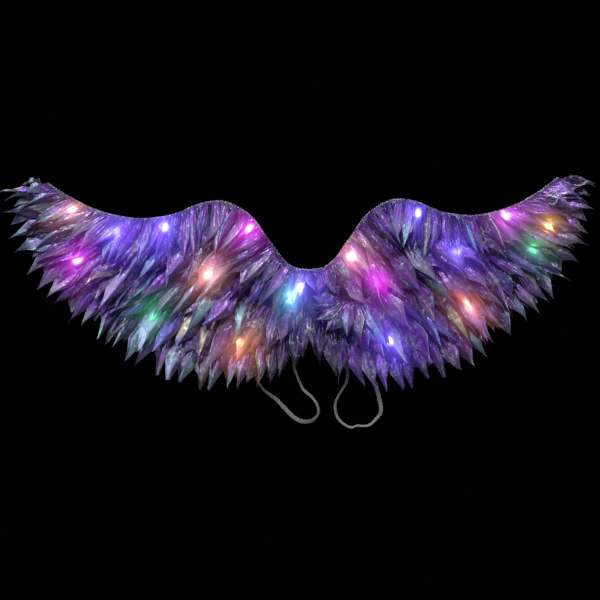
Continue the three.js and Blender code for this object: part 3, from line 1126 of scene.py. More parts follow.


@dataclass(frozen=True)
class LeafCut:
    """How every ruffle is cut, gathered and folded, in millimetres and shares of a leaf."""

    # The strip and its rows.
    strip: float = 66.0
    wall: float = 0.4
    head_gap: float = 3.7
    head_depth: float = 8.0
    head_scatter: float = 6.0
    run_out: float = 0.6  # share of the strip that is left at the ends of a row that runs out
    run_out_over: float = 1.2  # stations
    full_room: float = 46.0  # rows this far apart leave room for the whole fold
    least_room: float = 0.45
    edge_cover: float = 0.6  # the row that covers the edge starts this far below the binding's centreline
    edge_lift: float = 2.4  # and this far in front of its plane
    edge_loose: float = 0.3  # the share of its folds that shows there

    # The leaf's outline.
    pitch: float = 10.4  # front and back leaves take turns
    halfway: float = 0.55  # the share of its length at which the pitch counts too
    last_leaf: float = 0.5  # pitches from the row's end
    front: LeafKind = LeafKind(10.5, 0.6, (0.36, 0.58), 3.8, 8.5, 1.0)
    back: LeafKind = LeafKind(12.5, 0.95, (0.55, 0.75), -3.8, 4.0, 0.36)
    full_width_at: float = 0.45
    width_draw: Span = (0.8, 1.2)
    taper_draw: Span = (0.9, 1.1)
    taper_curve: float = 1.2
    point_width: float = 0.03
    wide_tip: float = 0.3  # how much wider the leaves of the wing tip are
    short_tip: float = 0.12  # and how much shorter
    short_inner: float = 0.62  # the length left to the right wing's innermost top leaves
    before_tip: float = 0.1  # stations from the wing's tip to the last place where the edge is paced
    past_tip: float = 0.3  # stations past it to which a head may reach
    end_over: float = 1.4  # stations over which the last leaves of a row change
    end_length: float = 0.75
    lean_lost: float = 0.6  # how much less the leaves lean at the wing tip
    sway: float = 8.0  # to either side, at the tip
    bow: float = 3.5  # to either side, halfway down
    shove: float = 2.5  # to either side, all along
    tilt: float = 9.0  # degrees

    # Its folds.
    puff: float = 6.5
    slope: float = 0.2
    layer_scatter: float = 0.9
    crease_shift: int = 3  # columns to either side
    crease_width: float = 0.01  # less than a column, so that the crease itself is on one side
    fold_draw: Span = (0.75, 1.3)
    folded_at: float = 0.4
    pleat: float = 1.5
    pleat_count: Span = (1.5, 2.4)
    pleat_fade: float = 1.5
    twist: float = 3.4
    twisted_at: float = 0.6
    curl: float = 3.5
    curl_draw: Span = (-0.5, 1.0)
    curl_from: float = 0.5
    crumple: float = 0.16
    crumple_waves: tuple[Span, ...] = ((0.55, 2.2), (0.31, -3.1))  # radians down and across
    crumple_phase: float = 6.28
    flat_from: float = 24.0  # tips that stand further out than this are pressed back
    flattened: float = 0.7

    # The swirl at the right wing's inner end.
    drawn_together: float = 0.75  # share of the way to the swirl's middle that inner heads are drawn
    swirl_turn: float = 70.0  # degrees inwards for each station inside the swirl's middle
    swirl_crowd: float = 2.4
    swirl_short: float = 0.35
    swirl_short_over: float = 0.4  # stations
    swirl_rise: float = 4.0
    swirl_rise_over: float = 0.6  # stations

    # The light it catches, and its grid.
    catch_draw: Span = (0.6, 1.25)  # how much of the lamps' light single leaves catch
    ridge: Span = (-0.6, 0.8)  # how far a fold is raised where valley turns to ridge
    catch_valley: float = 0.65
    catch_ridge: float = 0.6  # what a ridge catches beyond that
    light_drift: float = 4.0  # how far the light lies from its lamp, to either side
    weave_step: float = 40.0  # from leaf to leaf on the UV map
    rows: int = 24
    columns: int = 13


CUT = LeafCut()


@dataclass(frozen=True)
class RuffleRow:
    """One row of ruffle: how far down it is sewn, the stations that it runs between, and how its leaves hang.

    lean is how many degrees outwards the leaves hang near the middle of the back, reach and cover bound the
    front and back leaves' shares of the strip's length, fan is how far the leaves turn square to the top
    edge, 0 to 1, fine scales their pitch and width over the hump, tip_turn is how many degrees further
    outwards they point at the wing tip, swirl is the station from which the right wing's inner leaves are
    drawn together and fan inwards, unruly scales sway, bow and tilt, sheer is how grey the tips look, dim
    how much darker the inner end is, and end_width scales the leaves at the row's outer end. A row that
    covers the edge has its heads drawn up over the binding.
    """

    name: str
    drop: float
    start: float
    stop: float
    lean: float
    reach: Span
    cover: Span
    seed: int
    fan: float = 0.0
    fine: float = 1.0
    tip_turn: float = 12.0
    swirl: float = 0.0
    unruly: float = 1.0
    sheer: float = 0.0
    dim: float = 0.0
    end_width: float = 0.6
    runs_out: bool = False
    covers_edge: bool = False

    def head(self, station: Array) -> Array:
        """How far below the top edge the head is sewn: drop of the way from the first seam to the lowest."""
        first = WING.below_edge(station, CUT.head_gap)
        lowest = np.maximum(WING.feathers(station)[2] - CUT.strip, first)
        return first + (lowest - first) * self.drop

    def length(self, station: Array) -> Array:
        """The strip's length from head to tips, eased down where the row runs out under the one above."""
        full = np.minimum(CUT.strip, WING.feathers(station)[2] - self.head(station))
        if not self.runs_out:
            return full
        to_end = np.minimum(station - self.start, self.stop - station)
        return full * (CUT.run_out + (1 - CUT.run_out) * smoothstep(to_end, 0.0, CUT.run_out_over))

    def room(self, station: Array) -> Array:
        """The share of a whole fold that fits between the neighbouring rows.

        It is the distance to the nearest other head, up to a station past its row's ends, over the full room.

        Args:
            station: the leaves' stations.

        Returns:
            A share for each leaf, not below the least room.
        """
        gaps = [
            np.where(
                (station > row.start - 1) & (station < row.stop + 1),
                np.abs(row.head(station) - self.head(station)),
                CUT.full_room,
            )
            for row in ROWS
            if row is not self
        ]
        return np.clip(np.min(gaps, axis=0) / CUT.full_room, CUT.least_room, 1.0)

    def fineness(self, station: Array) -> Array:
        """Scale of the leaves' pitch and width: fine over the hump, 1 at the middle, coarser at the tip."""
        hump = smoothstep(station, *STRETCHES.hump) * (1 - smoothstep(station, *STRETCHES.past_hump))
        return 1 - (1 - self.fine) * hump + CUT.wide_tip * smoothstep(station, *STRETCHES.wide_tip)

    def direction(self, station: Array, tilt: Array) -> Array:
        """The way that leaves hang: the feather line, turned by lean and tilt and towards the edge's square.

        Args:
            station: the leaves' stations.
            tilt: degrees that each leaf turns outwards by itself.

        Returns:
            Unit vectors as out and up.
        """
        feather = WING.feathers(station)[1]
        along = WING.edge_direction(station)
        square = np.stack([along[:, 1], -along[:, 0]], axis=-1)
        fan = self.fan * (1 - smoothstep(station, *STRETCHES.fan))[:, None]
        blend = unit(feather * (1 - fan) + square * fan)
        lean = self.lean * (1 - CUT.lean_lost * smoothstep(station, *STRETCHES.lean))
        turn = np.radians(lean + self.tip_turn * smoothstep(station, *STRETCHES.tip_turn) + tilt)
        out = blend[:, 0] * np.cos(turn) - blend[:, 1] * np.sin(turn)
        up = blend[:, 0] * np.sin(turn) + blend[:, 1] * np.cos(turn)
        return np.stack([out, up], axis=-1)


ROWS = (
    RuffleRow(
        "ruffle_1_top", drop=0.0, start=0.0, stop=11.8, lean=4.0, reach=(0.8, 1.3), cover=(1.1, 1.25),
        seed=11, fan=0.7, fine=0.82, end_width=1.1, covers_edge=True,
    ),
    RuffleRow(
        "ruffle_2_upper", drop=0.28, start=1.7, stop=6.9, lean=22.0, reach=(0.95, 1.45), cover=(1.05, 1.2),
        seed=22, fine=1.3, runs_out=True,
    ),
    RuffleRow(
        "ruffle_3_middle", drop=0.55, start=0.0, stop=9.6, lean=20.0, reach=(0.95, 1.4), cover=(1.0, 1.15),
        seed=33, fine=1.3, swirl=1.9, dim=0.5,
    ),
    RuffleRow(
        "ruffle_4_lower", drop=0.78, start=1.7, stop=6.9, lean=16.0, reach=(0.9, 1.25), cover=(0.95, 1.1),
        seed=44, fine=1.25, runs_out=True,
    ),
    RuffleRow(
        "ruffle_5_hem", drop=1.0, start=0.0, stop=12.3, lean=3.0, reach=(0.86, 1.04), cover=(0.54, 0.68),
        seed=55, tip_turn=18.0, unruly=0.8, sheer=0.9, dim=0.66, end_width=1.25,
    ),
)


@dataclass
class Leaves:
    """The leaves of one ruffle as grids by leaf, row and column.

    middle is the middle surface in millimetres, grain the leaf's direction in X and Z, across runs from -1
    to 1, along from 0 to 1, fold tells how far a point is raised by its leaf's fold, -1 to 1, facet on
    which side of the crease it lies, -1 or 1, front which leaves lie in front, and station where each leaf
    is sewn.
    """

    middle: Array
    grain: Array
    across: Array
    along: Array
    fold: Array
    facet: Array
    front: Array
    station: Array


@dataclass
class Ruffle:
    """A gathered strip of iridescent cloth on one wing, cut into pointed leaves that overlap."""

    row: RuffleRow
    side: Side
    film: IridescentLame
    right_seed: int = 100  # added to the row's seed on the right wing
    samples: int = 400
    rng: np.random.Generator = field(init=False)

    def __post_init__(self) -> None:
        """Seeds the ruffle's own random draws."""
        self.rng = np.random.default_rng(self.row.seed + (self.right_seed if self.side is Side.RIGHT else 0))

    @property
    def swirl(self) -> float:
        """The station inside which the leaves swirl, which only the right wing does."""
        return self.row.swirl if self.side is Side.RIGHT else self.row.start

    def leaf_places(self) -> Array:
        """The leaves' stations: a pitch apart at their heads or halfway down, whichever is further."""
        station = np.linspace(self.row.start, self.row.stop, self.samples)
        edge, feather, _ = WING.feathers(station)
        heads = edge + feather * self.row.head(station)[:, None]
        hanging = self.row.direction(station, np.zeros(self.samples))
        halfway = heads + hanging * (CUT.halfway * self.row.length(station))[:, None]
        steps = [np.linalg.norm(np.diff(line, axis=0), axis=-1) for line in (heads, halfway)]
        crowd = np.where(station[1:] < self.swirl, CUT.swirl_crowd, 1.0)
        pitches = crowd * np.maximum(*steps) / (CUT.pitch * self.row.fineness(station[1:]))
        run = np.concatenate([[0.0], np.cumsum(pitches)])
        turns = np.linspace(self.side.first_leaf, run[-1] - CUT.last_leaf, int(round(run[-1])))
        return np.interp(turns, run, station)

    def widths(self, places: Array, along: Array, front: Array) -> Array:
        """Half the leaves' widths.

        A width eases from the gathered head's to the full one. Where the point starts it is scaled by
        (1 - t^p)^q: t is the share of the way to the tip, p is drawn near 1 and q is the taper's curve.

        Args:
            places: the leaves' stations.
            along: place along each leaf.
            front: whether each leaf is a front one.

        Returns:
            Half widths by leaf, row and column.
        """
        each = (len(places), 1, 1)
        draw = self.rng.uniform
        bounds = [np.where(front, *pair) for pair in zip(CUT.front.point_from, CUT.back.point_from)]
        point_from = draw(*bounds)
        taper = np.clip((along - point_from) / (1 - point_from), 0, 1)
        head_width = np.where(front, CUT.front.head_width, CUT.back.head_width)
        width = head_width + (1 - head_width) * smoothstep(along, 0.0, CUT.full_width_at)
        width = width * np.where(front, CUT.front.half_width, CUT.back.half_width)
        width = width * draw(*CUT.width_draw, each)
        at_end = self.row.end_width + (1 - self.row.end_width) * self.before_end(places)
        width = width * self.row.fineness(places).reshape(each) * at_end
        pointed = (1 - taper ** draw(*CUT.taper_draw, each)) ** CUT.taper_curve
        return width * np.maximum(pointed, CUT.point_width)

    def before_end(self, places: Array) -> Array:
        """How far each leaf is from the row's outer end, eased from 0 to 1 over its last stations."""
        return smoothstep(self.row.stop - places, 0.0, CUT.end_over).reshape(-1, 1, 1)

    def lengths(self, places: Array, inner: Array, to_end: Array, front: Array) -> Array:
        """The leaves' lengths: drawn shares of the strip, less at the row's end, the wing tip and the swirl.

        Args:
            places: the leaves' stations.
            inner: how many stations inside the swirl's middle each leaf is sewn.
            to_end: how far each leaf is from the row's outer end, 0 to 1.
            front: whether each leaf is a front one.

        Returns:
            A length for each leaf.
        """
        each = (len(places), 1, 1)
        reach = self.rng.uniform(*self.row.reach, each)
        cover = self.rng.uniform(*self.row.cover, each)
        full = self.row.length(places)
        full = full * (1 - CUT.short_tip * smoothstep(places, *STRETCHES.short_tip))
        full = full * (1 - CUT.swirl_short * smoothstep(inner, 0.0, CUT.swirl_short_over))
        if self.row.covers_edge and self.side is Side.RIGHT:
            gained = smoothstep(places, *STRETCHES.short_inner)
            full = full * (CUT.short_inner + (1 - CUT.short_inner) * gained)
        at_end = CUT.end_length + (1 - CUT.end_length) * to_end
        return full.reshape(each) * at_end * np.where(front, reach, cover)

    def outline(self, places: Array, across: Array, along: Array, front: Array) -> tuple[Array, Array, Array]:
        """Where the leaves' points lie on the flat wing.

        A leaf's head follows the row's seam. Its spine runs straight from the head, sways to one side with
        the square of the way down, bows by half a sine wave and is shoved aside as a whole.

        Args:
            places: the leaves' stations.
            across: place across each leaf.
            along: place along it.
            front: whether each leaf is a front one.

        Returns:
            The points as out and up, their distances below the row's head, and the leaves' directions.
        """
        each = (len(places), 1, 1)
        draw = self.rng.uniform
        to_end = self.before_end(places)
        width = self.widths(places, along, front)
        aside = CUT.sway * draw(-1, 1, each) * along**2 + CUT.bow * draw(-1, 1, each) * np.sin(np.pi * along)
        aside = (aside + draw(-CUT.shove, CUT.shove, each)) * self.row.unruly

        inner = np.clip(self.swirl - places, 0, None)
        places = places + CUT.drawn_together * inner
        start = draw(0, CUT.head_scatter, each) * (0 if self.row.covers_edge else 1)
        head = self.row.head(places)
        most = (WING.feathers(places)[2] - head).reshape(each) - start
        below = start + along * np.minimum(self.lengths(places, inner, to_end, front), most)
        tilt = CUT.tilt * self.row.unruly * draw(-1, 1, len(places))
        spine = self.row.direction(places, tilt - CUT.swirl_turn * inner)
        beside = np.stack([-spine[:, 1], spine[:, 0]], axis=-1)

        pace = WING.edge_pace(np.minimum(places, WING.last - CUT.before_tip))
        gathered = width[:, :1] * (inner == 0).reshape(each)
        seam = places.reshape(each) + across * gathered / pace.reshape(each)
        edge, feather, _ = WING.feathers(np.minimum(seam, WING.last + CUT.past_tip))
        sewn = edge + feather * (CUT.edge_cover if self.row.covers_edge else head.reshape(*each, 1))
        aside = across * (width - gathered) + aside
        flat = sewn + spine[:, None, None] * below[..., None] + beside[:, None, None] * aside[..., None]
        return flat, below, spine

    def shape(self) -> Leaves:
        """The leaves as grids.

        A leaf stands out from the backing by puff * (1 - (1 - below / head depth)^2) + slope * below. To
        that come its layer, a roof fold about a lengthwise crease, head pleats that die out downwards, a
        twist, a crumple of crossing sine waves and a curl of the tip, all scaled by the row's room. What
        stands out furthest is pressed back by a share of the excess.

        Returns:
            The leaves.
        """
        places = self.leaf_places()
        each = (len(places), 1, 1)
        shape = (len(places), CUT.rows, CUT.columns)
        across = np.broadcast_to(np.linspace(-1, 1, CUT.columns), shape)
        along = np.broadcast_to(np.linspace(0, 1, CUT.rows)[:, None], shape)
        front = (np.arange(len(places)) % 2 == 0).reshape(each)
        flat, below, spine = self.outline(places, across, along, front)

        draw = self.rng.uniform
        crease = self.rng.integers(-CUT.crease_shift, CUT.crease_shift + 1, each) * 2 / (CUT.columns - 1)
        facet = np.where(across > crease + CUT.crease_width, 1.0, -1.0)
        fold = 0.5 - np.abs(across - crease) / (1 + np.abs(crease))
        fold = fold * smoothstep(along, 0.0, CUT.folded_at)
        pleats = np.abs((across * draw(*CUT.pleat_count, each) + draw(0, 1, each)) % 1 - 0.5) * 4 - 1
        out = np.where(front, CUT.front.layer, CUT.back.layer)
        out = out + draw(-CUT.layer_scatter, CUT.layer_scatter, each)
        out = out + fold * np.where(front, CUT.front.fold, CUT.back.fold) * draw(*CUT.fold_draw, each)
        out = out + CUT.pleat * pleats * (1 - along) ** CUT.pleat_fade
        out = out + CUT.twist * draw(-1, 1, each) * across * smoothstep(along, 0.0, CUT.twisted_at)
        for down, aside in CUT.crumple_waves:
            out = out + CUT.crumple * np.sin(down * below + aside * across + draw(0, CUT.crumple_phase, each))
        out = out + CUT.curl * draw(*CUT.curl_draw, each) * smoothstep(along, CUT.curl_from, 1.0) ** 2

        rise = 1 - (1 - np.clip(below / CUT.head_depth, 0, 1)) ** 2
        room = self.row.room(places).reshape(each)
        lifted = CUT.edge_lift * (1 - rise) if self.row.covers_edge else 0.0
        loose = np.maximum(rise, CUT.edge_loose) if self.row.covers_edge else rise
        swirled = smoothstep(self.swirl - places, 0.0, CUT.swirl_rise_over).reshape(each)
        forward = SEAT_GAP + CUT.puff * rise + CUT.slope * below + room * loose * out + lifted
        forward = forward + CUT.swirl_rise * swirled * rise
        beyond = np.maximum(forward - CUT.flat_from, 0)
        forward = np.maximum(forward - CUT.flattened * beyond, SEAT_GAP + lifted)
        middle = WING.lay(self.side, flat, BACKING_FRONT - forward - CUT.wall)
        grain = np.broadcast_to((spine * (self.side.sign, 1))[:, None, None], flat.shape)
        raised = np.clip(fold * 2, -1, 1)
        return Leaves(middle, grain, across, along, raised, facet, front, places.reshape(each))

    def build(self, material: Material) -> Object:
        """Args:
            material: the iridescent cloth.

        Returns:
            The piece.
        """
        leaves = self.shape()
        count = len(leaves.middle)
        each = (count, 1, 1)
        # the leaves behind take a darker share, as painted shade
        dye = np.where(leaves.front, CUT.front.dye, CUT.back.dye)
        tint = self.film.leaf_colours(self.rng, leaves, dye, self.row, self.side)
        ridge = smoothstep(leaves.fold, *CUT.ridge)
        catch = self.rng.uniform(*CUT.catch_draw, each) * (CUT.catch_valley + CUT.catch_ridge * ridge)
        aside = self.rng.uniform(-CUT.light_drift, CUT.light_drift, (*each, 2))
        drift = np.insert(aside, 1, 0.0, axis=-1)
        lit = GLOW.on((leaves.middle + drift).reshape(-1, 3), leaves.grain.reshape(-1, 2))
        glow = lit.reshape(leaves.middle.shape) * catch[..., None]
        sideways = leaves.across * CUT.front.half_width + CUT.weave_step * np.arange(count).reshape(each)
        weave = np.stack([sideways, leaves.along * CUT.strip], axis=-1)
        tint, glow, weave = (
            np.stack([values, values], axis=1).reshape(-1, values.shape[-1]) for values in (tint, glow, weave)
        )
        quads = repeat_quads(wall_quads(CUT.rows, CUT.columns), count, 2 * CUT.rows * CUT.columns)
        if self.side is Side.LEFT:
            quads = quads[:, ::-1]
        name = f"{self.row.name}_{self.side.value}"
        piece = make_piece(
            f"{name}_cloth", wall_points(leaves.middle, CUT.wall), quads, material,
            name, {"tint": tint, "glow": glow}, weave, crease=25.0,
        )
        return piece


@dataclass
class EdgeBinding:
    """The top edge: cloth gathered round a bent wire, from tip to tip."""

    radius: float = 2.5
    sides: int = 14
    step: float = 0.7
    gather: float = 4.2
    depth: float = 0.3
    slant: Span = (0.8, 1.3)  # radians for the section's height and for its depth
    drift: float = 1.4  # radians to either side, drawn at the drift knots
    drift_knots: int = 120
    tint_knots: int = 160
    toned: float = 0.8  # how light its cloth is drawn beside the ruffles': darker, as painted shade that tones down the light along the edge
    lit: float = 0.6  # how much of the lamps' light it takes
    blunt: float = 0.02  # the square of the radius that is left at its round ends
    samples: int = 1200
    seed: int = 7

    def build(self, film: IridescentLame, material: Material) -> Object:
        """Builds the binding: a round section along the top edges, its radius drawn in by gathers.

        The radius is r * (1 - depth * |sin(pi * s / gather + turn)|) at length s, where turn follows the
        angle round the section, so that the gathers slant, and drifts along the edge.

        Args:
            film: the cloth's colours.
            material: the iridescent cloth.

        Returns:
            The piece.
        """
        station = np.arange(1, WING.last + 1, dtype=float)
        left = WING.place(Side.LEFT, station[::-1], np.zeros(WING.last), BACKING_MIDDLE)
        right = WING.place(Side.RIGHT, station, np.zeros(WING.last), BACKING_MIDDLE)
        middle = np.array([[0.0, BACKING_MIDDLE, WING.edge_up[0]]])
        route = np.vstack([left, middle, right])
        coarse = np.linspace(0, len(route) - 1, self.samples)
        length = run_length(smooth_line(route, coarse))
        steps = int(length[-1] / self.step)
        run = np.linspace(0, length[-1], steps)
        centres = smooth_line(route, np.interp(run, length, coarse))
        along = unit(np.gradient(centres, axis=0))
        forward = np.broadcast_to(FORWARD, along.shape)
        upward = np.cross(along, forward)
        rng = np.random.default_rng(self.seed)
        knots = rng.uniform(-self.drift, self.drift, self.drift_knots)
        drift = np.interp(run, np.linspace(0, run[-1], self.drift_knots), knots)
        ring = circle(self.sides)
        slant = self.slant[0] * ring[:, 0] + self.slant[1] * ring[:, 1]
        gathers = np.abs(np.sin(np.pi * run[:, None] / self.gather + slant + drift[:, None]))
        ends = np.sqrt(np.clip(np.minimum(run, run[-1] - run) / self.radius, self.blunt, 1))
        radius = self.radius * (1 - self.depth * gathers) * ends[:, None]
        points, faces = tube(centres, upward, forward, ring * radius[..., None])
        shade = gathers.reshape(-1, 1)
        patches = np.interp(run, np.linspace(0, run[-1], self.tint_knots), rng.uniform(0, 1, self.tint_knots))
        patches = np.repeat(patches, self.sides)[:, None]
        deep, violet, silver = linear(film.deep), linear(film.violet), linear(film.silver)
        # painted highlight and shade: silver on the gathers' ridges, darker where they draw in
        tint = self.toned * (deep + (violet - deep) * patches) + (silver - violet) * (1 - shade) * patches
        glow = self.lit * GLOW.on(points, np.repeat(upward[:, [0, 2]], self.sides, axis=0))
        return make_piece(
            "edge_binding_cloth", points, faces, material, "edge_binding",
            {"tint": tint, "glow": glow},
            np.stack([np.repeat(run, self.sides), np.tile(np.arange(self.sides), steps)], axis=-1),
        )


@dataclass
class Backing:
    """The cloth behind the ruffles of one wing, drawn in a little along each seam."""

    side: Side
    edge_gap: float = 3.4
    hem_margin: float = 30.0
    wall: float = 0.9
    pucker: float = 0.22
    seam_reach: float = 7.0  # how far from a seam its ripples die out
    seam_ripple: float = 24.0  # radians for each station
    slow_ripple: Span = (9.0, 0.07)  # radians for each station, and for each millimetre down
    slow_share: float = 0.5
    rows: int = 60
    columns: int = 150
    seam_end: float = 0.05  # stations that the stitches leave free at a row's ends
    seam_drop: float = 2.5  # how far below a head its stitches lie
    seam_stand: float = 0.1  # how far behind the backing they lie
    seam_samples: int = 600
    stitch_first: float = 1.0  # from the seam's start
    stitch_length: float = 3.2
    stitch_gap: float = 2.4
    stitch_radius: float = 0.28
    stitch_sides: int = 6
    stitch_share: tuple[float, ...] = (0.0, 0.12, 0.5, 0.88, 1.0)  # where along it its rings lie
    stitch_swell: tuple[float, ...] = (0.15, 0.8, 1.0, 0.8, 0.15)  # share of the radius at each ring
    stitch_stand: tuple[float, ...] = (-0.5, 0.0, 0.05, 0.0, -0.5)  # how far each ring stands out

    def build(self, material: Material) -> Object:
        """Builds the backing: a grid of stations by distance, with ripples that are strongest at the seams.

        Args:
            material: the backing cloth.

        Returns:
            The piece.
        """
        station = np.broadcast_to(np.linspace(0, WING.last, self.columns), (self.rows, self.columns))
        top = WING.below_edge(station, self.edge_gap)
        low = WING.feathers(station)[2] - self.hem_margin
        distance = top + (low - top) * np.linspace(0, 1, self.rows)[:, None]
        near = np.zeros_like(distance)
        for row in ROWS:
            inside = (station >= row.start) & (station <= row.stop)
            below = (distance - row.head(station)) / self.seam_reach
            near = np.maximum(near, np.exp(-(below**2)) * inside)
        slow = np.sin(station * self.slow_ripple[0] + distance * self.slow_ripple[1])
        ripple = np.sin(station * self.seam_ripple) * near + self.slow_share * slow
        y = BACKING_MIDDLE + self.pucker * ripple / (1 + self.slow_share)
        middle = WING.place(self.side, station, distance, y)
        points = wall_points(middle, self.wall)
        quads = wall_quads(self.rows, self.columns)
        if self.side is Side.LEFT:
            quads = quads[:, ::-1]
        name = f"backing_{self.side.value}"
        glow = GLOW.on(points, np.broadcast_to((0.0, 1.0), (len(points), 2)))
        piece = make_piece(f"{name}_cloth", points, quads, material, name, {"glow": glow})
        return piece

    def seams(self, material: Material) -> Object:
        """Builds the running stitches that show behind each ruffle's head, each a short bar with round ends.

        Args:
            material: the thread's finish.

        Returns:
            The piece.
        """
        starts = []
        ends = []
        y = BACKING_BACK + self.seam_stand
        for row in ROWS:
            station = np.linspace(row.start + self.seam_end, row.stop - self.seam_end, self.seam_samples)
            seam = WING.place(self.side, station, row.head(station) + self.seam_drop, y)
            length = run_length(seam)
            room = length[-1] - self.stitch_length
            first = np.arange(self.stitch_first, room, self.stitch_length + self.stitch_gap)
            last = first + self.stitch_length
            for found, stitch in ((starts, first), (ends, last)):
                found.append(np.stack([np.interp(stitch, length, seam[:, k]) for k in range(3)], axis=-1))
        start = np.vstack(starts)
        run = np.vstack(ends) - start
        along = unit(run)
        outward = np.broadcast_to(-FORWARD, along.shape)
        across = np.cross(along, outward)
        share, swell, stand = (
            np.array(values)[:, None] for values in (self.stitch_share, self.stitch_swell, self.stitch_stand)
        )
        ring = circle(self.stitch_sides)
        centre = start[:, None] + run[:, None] * share + outward[:, None] * stand
        radial = ring[:, :1] * across[:, None] + ring[:, 1:] * outward[:, None]
        points = centre[:, :, None] + self.stitch_radius * swell[..., None] * radial[:, None]
        rings, sides = len(share), self.stitch_sides
        quads = repeat_quads(grid_quads(rings, sides, round_columns=True), len(start), rings * sides)
        first = np.arange(len(start))[:, None] * rings * sides
        caps = (first + np.arange(sides)[::-1], first + (rings - 1) * sides + np.arange(sides))
        faces = [face for part in (quads, *caps) for face in part.tolist()]
        return make_piece(
            f"seam_stitches_{self.side.value}", points.reshape(-1, 3), faces, material
        )


@dataclass
class Lamp:
    """A small domed lamp whose stem passes through the backing."""

    name: str
    spot: LampSpot
    lens: float = 2.4
    flange: float = 2.8
    stem: float = 1.1
    collar: float = 0.8
    height: float = 4.2
    rounding: float = 0.2
    base_light: float = 0.25  # share of the dome's light at the flange
    whitening: float = 0.5  # how far the colour turns white at the dome's top
    sides: int = 20
    dome_steps: int = 8

    def build(self, material: Material) -> Object:
        """Builds the lamp: a stem, a flange with a rounded rim and a quarter-ellipse dome, all turned.

        Args:
            material: the lens of this lamp's colour.

        Returns:
            The piece.
        """
        top = SEAT_GAP + self.collar
        angle = np.linspace(0, np.pi / 2, self.dome_steps, endpoint=False)
        dome = np.stack([self.lens * np.cos(angle), top + (self.height - top) * np.sin(angle)], axis=-1)
        rim = self.flange - self.rounding
        low = [(self.stem, -BACKING_WALL), (self.stem, SEAT_GAP), (rim, SEAT_GAP)]
        edge = [(self.flange, SEAT_GAP + self.rounding), (self.flange, top - self.rounding), (rim, top)]
        profile = np.vstack([low, edge, dome])
        ring = circle(self.sides)
        centre = np.array([self.spot.x, BACKING_FRONT, self.spot.z])
        radial = np.stack([ring[:, 0], np.zeros(self.sides), ring[:, 1]], axis=-1)
        points = (centre + profile[:, :1, None] * radial + profile[:, 1:, None] * FORWARD).reshape(-1, 3)
        faces = grid_quads(len(profile), self.sides, round_columns=True)[:, ::-1].tolist()
        last = len(points) - self.sides
        points = np.vstack([points, centre - FORWARD * BACKING_WALL, centre + FORWARD * self.height])
        number = np.arange(self.sides)
        following = np.roll(number, -1)
        foot, crown = np.full(self.sides, len(points) - 2), np.full(self.sides, len(points) - 1)
        faces += np.stack([following, number, foot], axis=-1).tolist()
        faces += np.stack([number + last, following + last, crown], axis=-1).tolist()
        forward = np.clip((BACKING_FRONT - points[:, 1]) / self.height, 0, 1)[:, None]
        tint = linear(self.spot.colour.value)
        light = self.base_light + (1 - self.base_light) * forward
        glow = (tint + (1 - tint) * self.whitening * forward) * light
        return make_piece(f"{self.name}_lens", points, faces, material, self.name, {"glow": glow})


@dataclass
class Lead:
    """The thin insulated lead behind one backing, from the case to each lamp in turn."""

    side: Side
    radius: float = 0.6
    sides: int = 8
    steps_per_lamp: int = 24
    slack: float = 0.12

    @property
    def start(self) -> tuple[Span, ...]:
        """Where the lead leaves the case and climbs past the strap's upper end, as X and Z."""
        if self.side is Side.LEFT:
            return ((-30, 4), (-34, 14))
        return ((30, 4), (33, 26), (40, 60))

    def build(self, material: Material) -> Object:
        """Builds the lead: a round section along a smooth line through the lamps.

        Args:
            material: the lead's insulation.

        Returns:
            The piece.
        """
        flat = [*self.start, *((spot.x, spot.z) for spot in LAMPS[self.side])]
        y = BACKING_BACK + SEAT_GAP + self.radius
        route = np.array([(x, y, z) for x, z in flat], dtype=float)
        places = np.linspace(0, len(route) - 1, self.steps_per_lamp * (len(route) - 1) + 1)
        centres = smooth_line(route, places, self.slack)
        along = unit(np.gradient(centres, axis=0))
        outward = np.broadcast_to(FORWARD, along.shape)
        points, faces = tube(centres, np.cross(along, outward), outward, circle(self.sides) * self.radius)
        name = f"lead_{self.side.value}"
        return make_piece(f"{name}_wire", points, faces, material, name)


@dataclass
class LeadLoop:
    """A slack loop of the right lead that lies over the cloth near the wing tip."""

    centre: Span = (363.0, 171.0)
    radii: Span = (7.5, 10.0)
    front: float = -34.0
    slope: float = 0.1
    sunk: float = 8.0
    sunk_curve: float = 8.0  # the higher, the nearer to its ends the loop sinks
    start: float = 185.0  # degrees
    sweep: float = 310.0  # degrees
    radius: float = 0.75  # the real lead's is 0.6; drawn thicker to show
    sides: int = 8
    steps: int = 60

    def build(self, material: Material) -> Object:
        """Builds the loop: a round section along most of an ellipse, whose ends sink between the leaves.

        Args:
            material: the lead's insulation.

        Returns:
            The piece.
        """
        share = np.linspace(0, 1, self.steps)
        angle = np.radians(self.start - self.sweep * share)
        x = self.centre[0] + self.radii[0] * np.cos(angle)
        z = self.centre[1] + self.radii[1] * np.sin(angle)
        sunk = self.sunk * np.abs(2 * share - 1) ** self.sunk_curve
        y = self.front + self.slope * (z - self.centre[1]) + sunk
        centres = np.stack([x, y, z], axis=-1)
        along = unit(np.gradient(centres, axis=0))
        outward = unit(np.cross(along, np.cross(FORWARD, along)))
        points, faces = tube(centres, np.cross(along, outward), outward, circle(self.sides) * self.radius)
        return make_piece("lead_right_loop", points, faces, material)


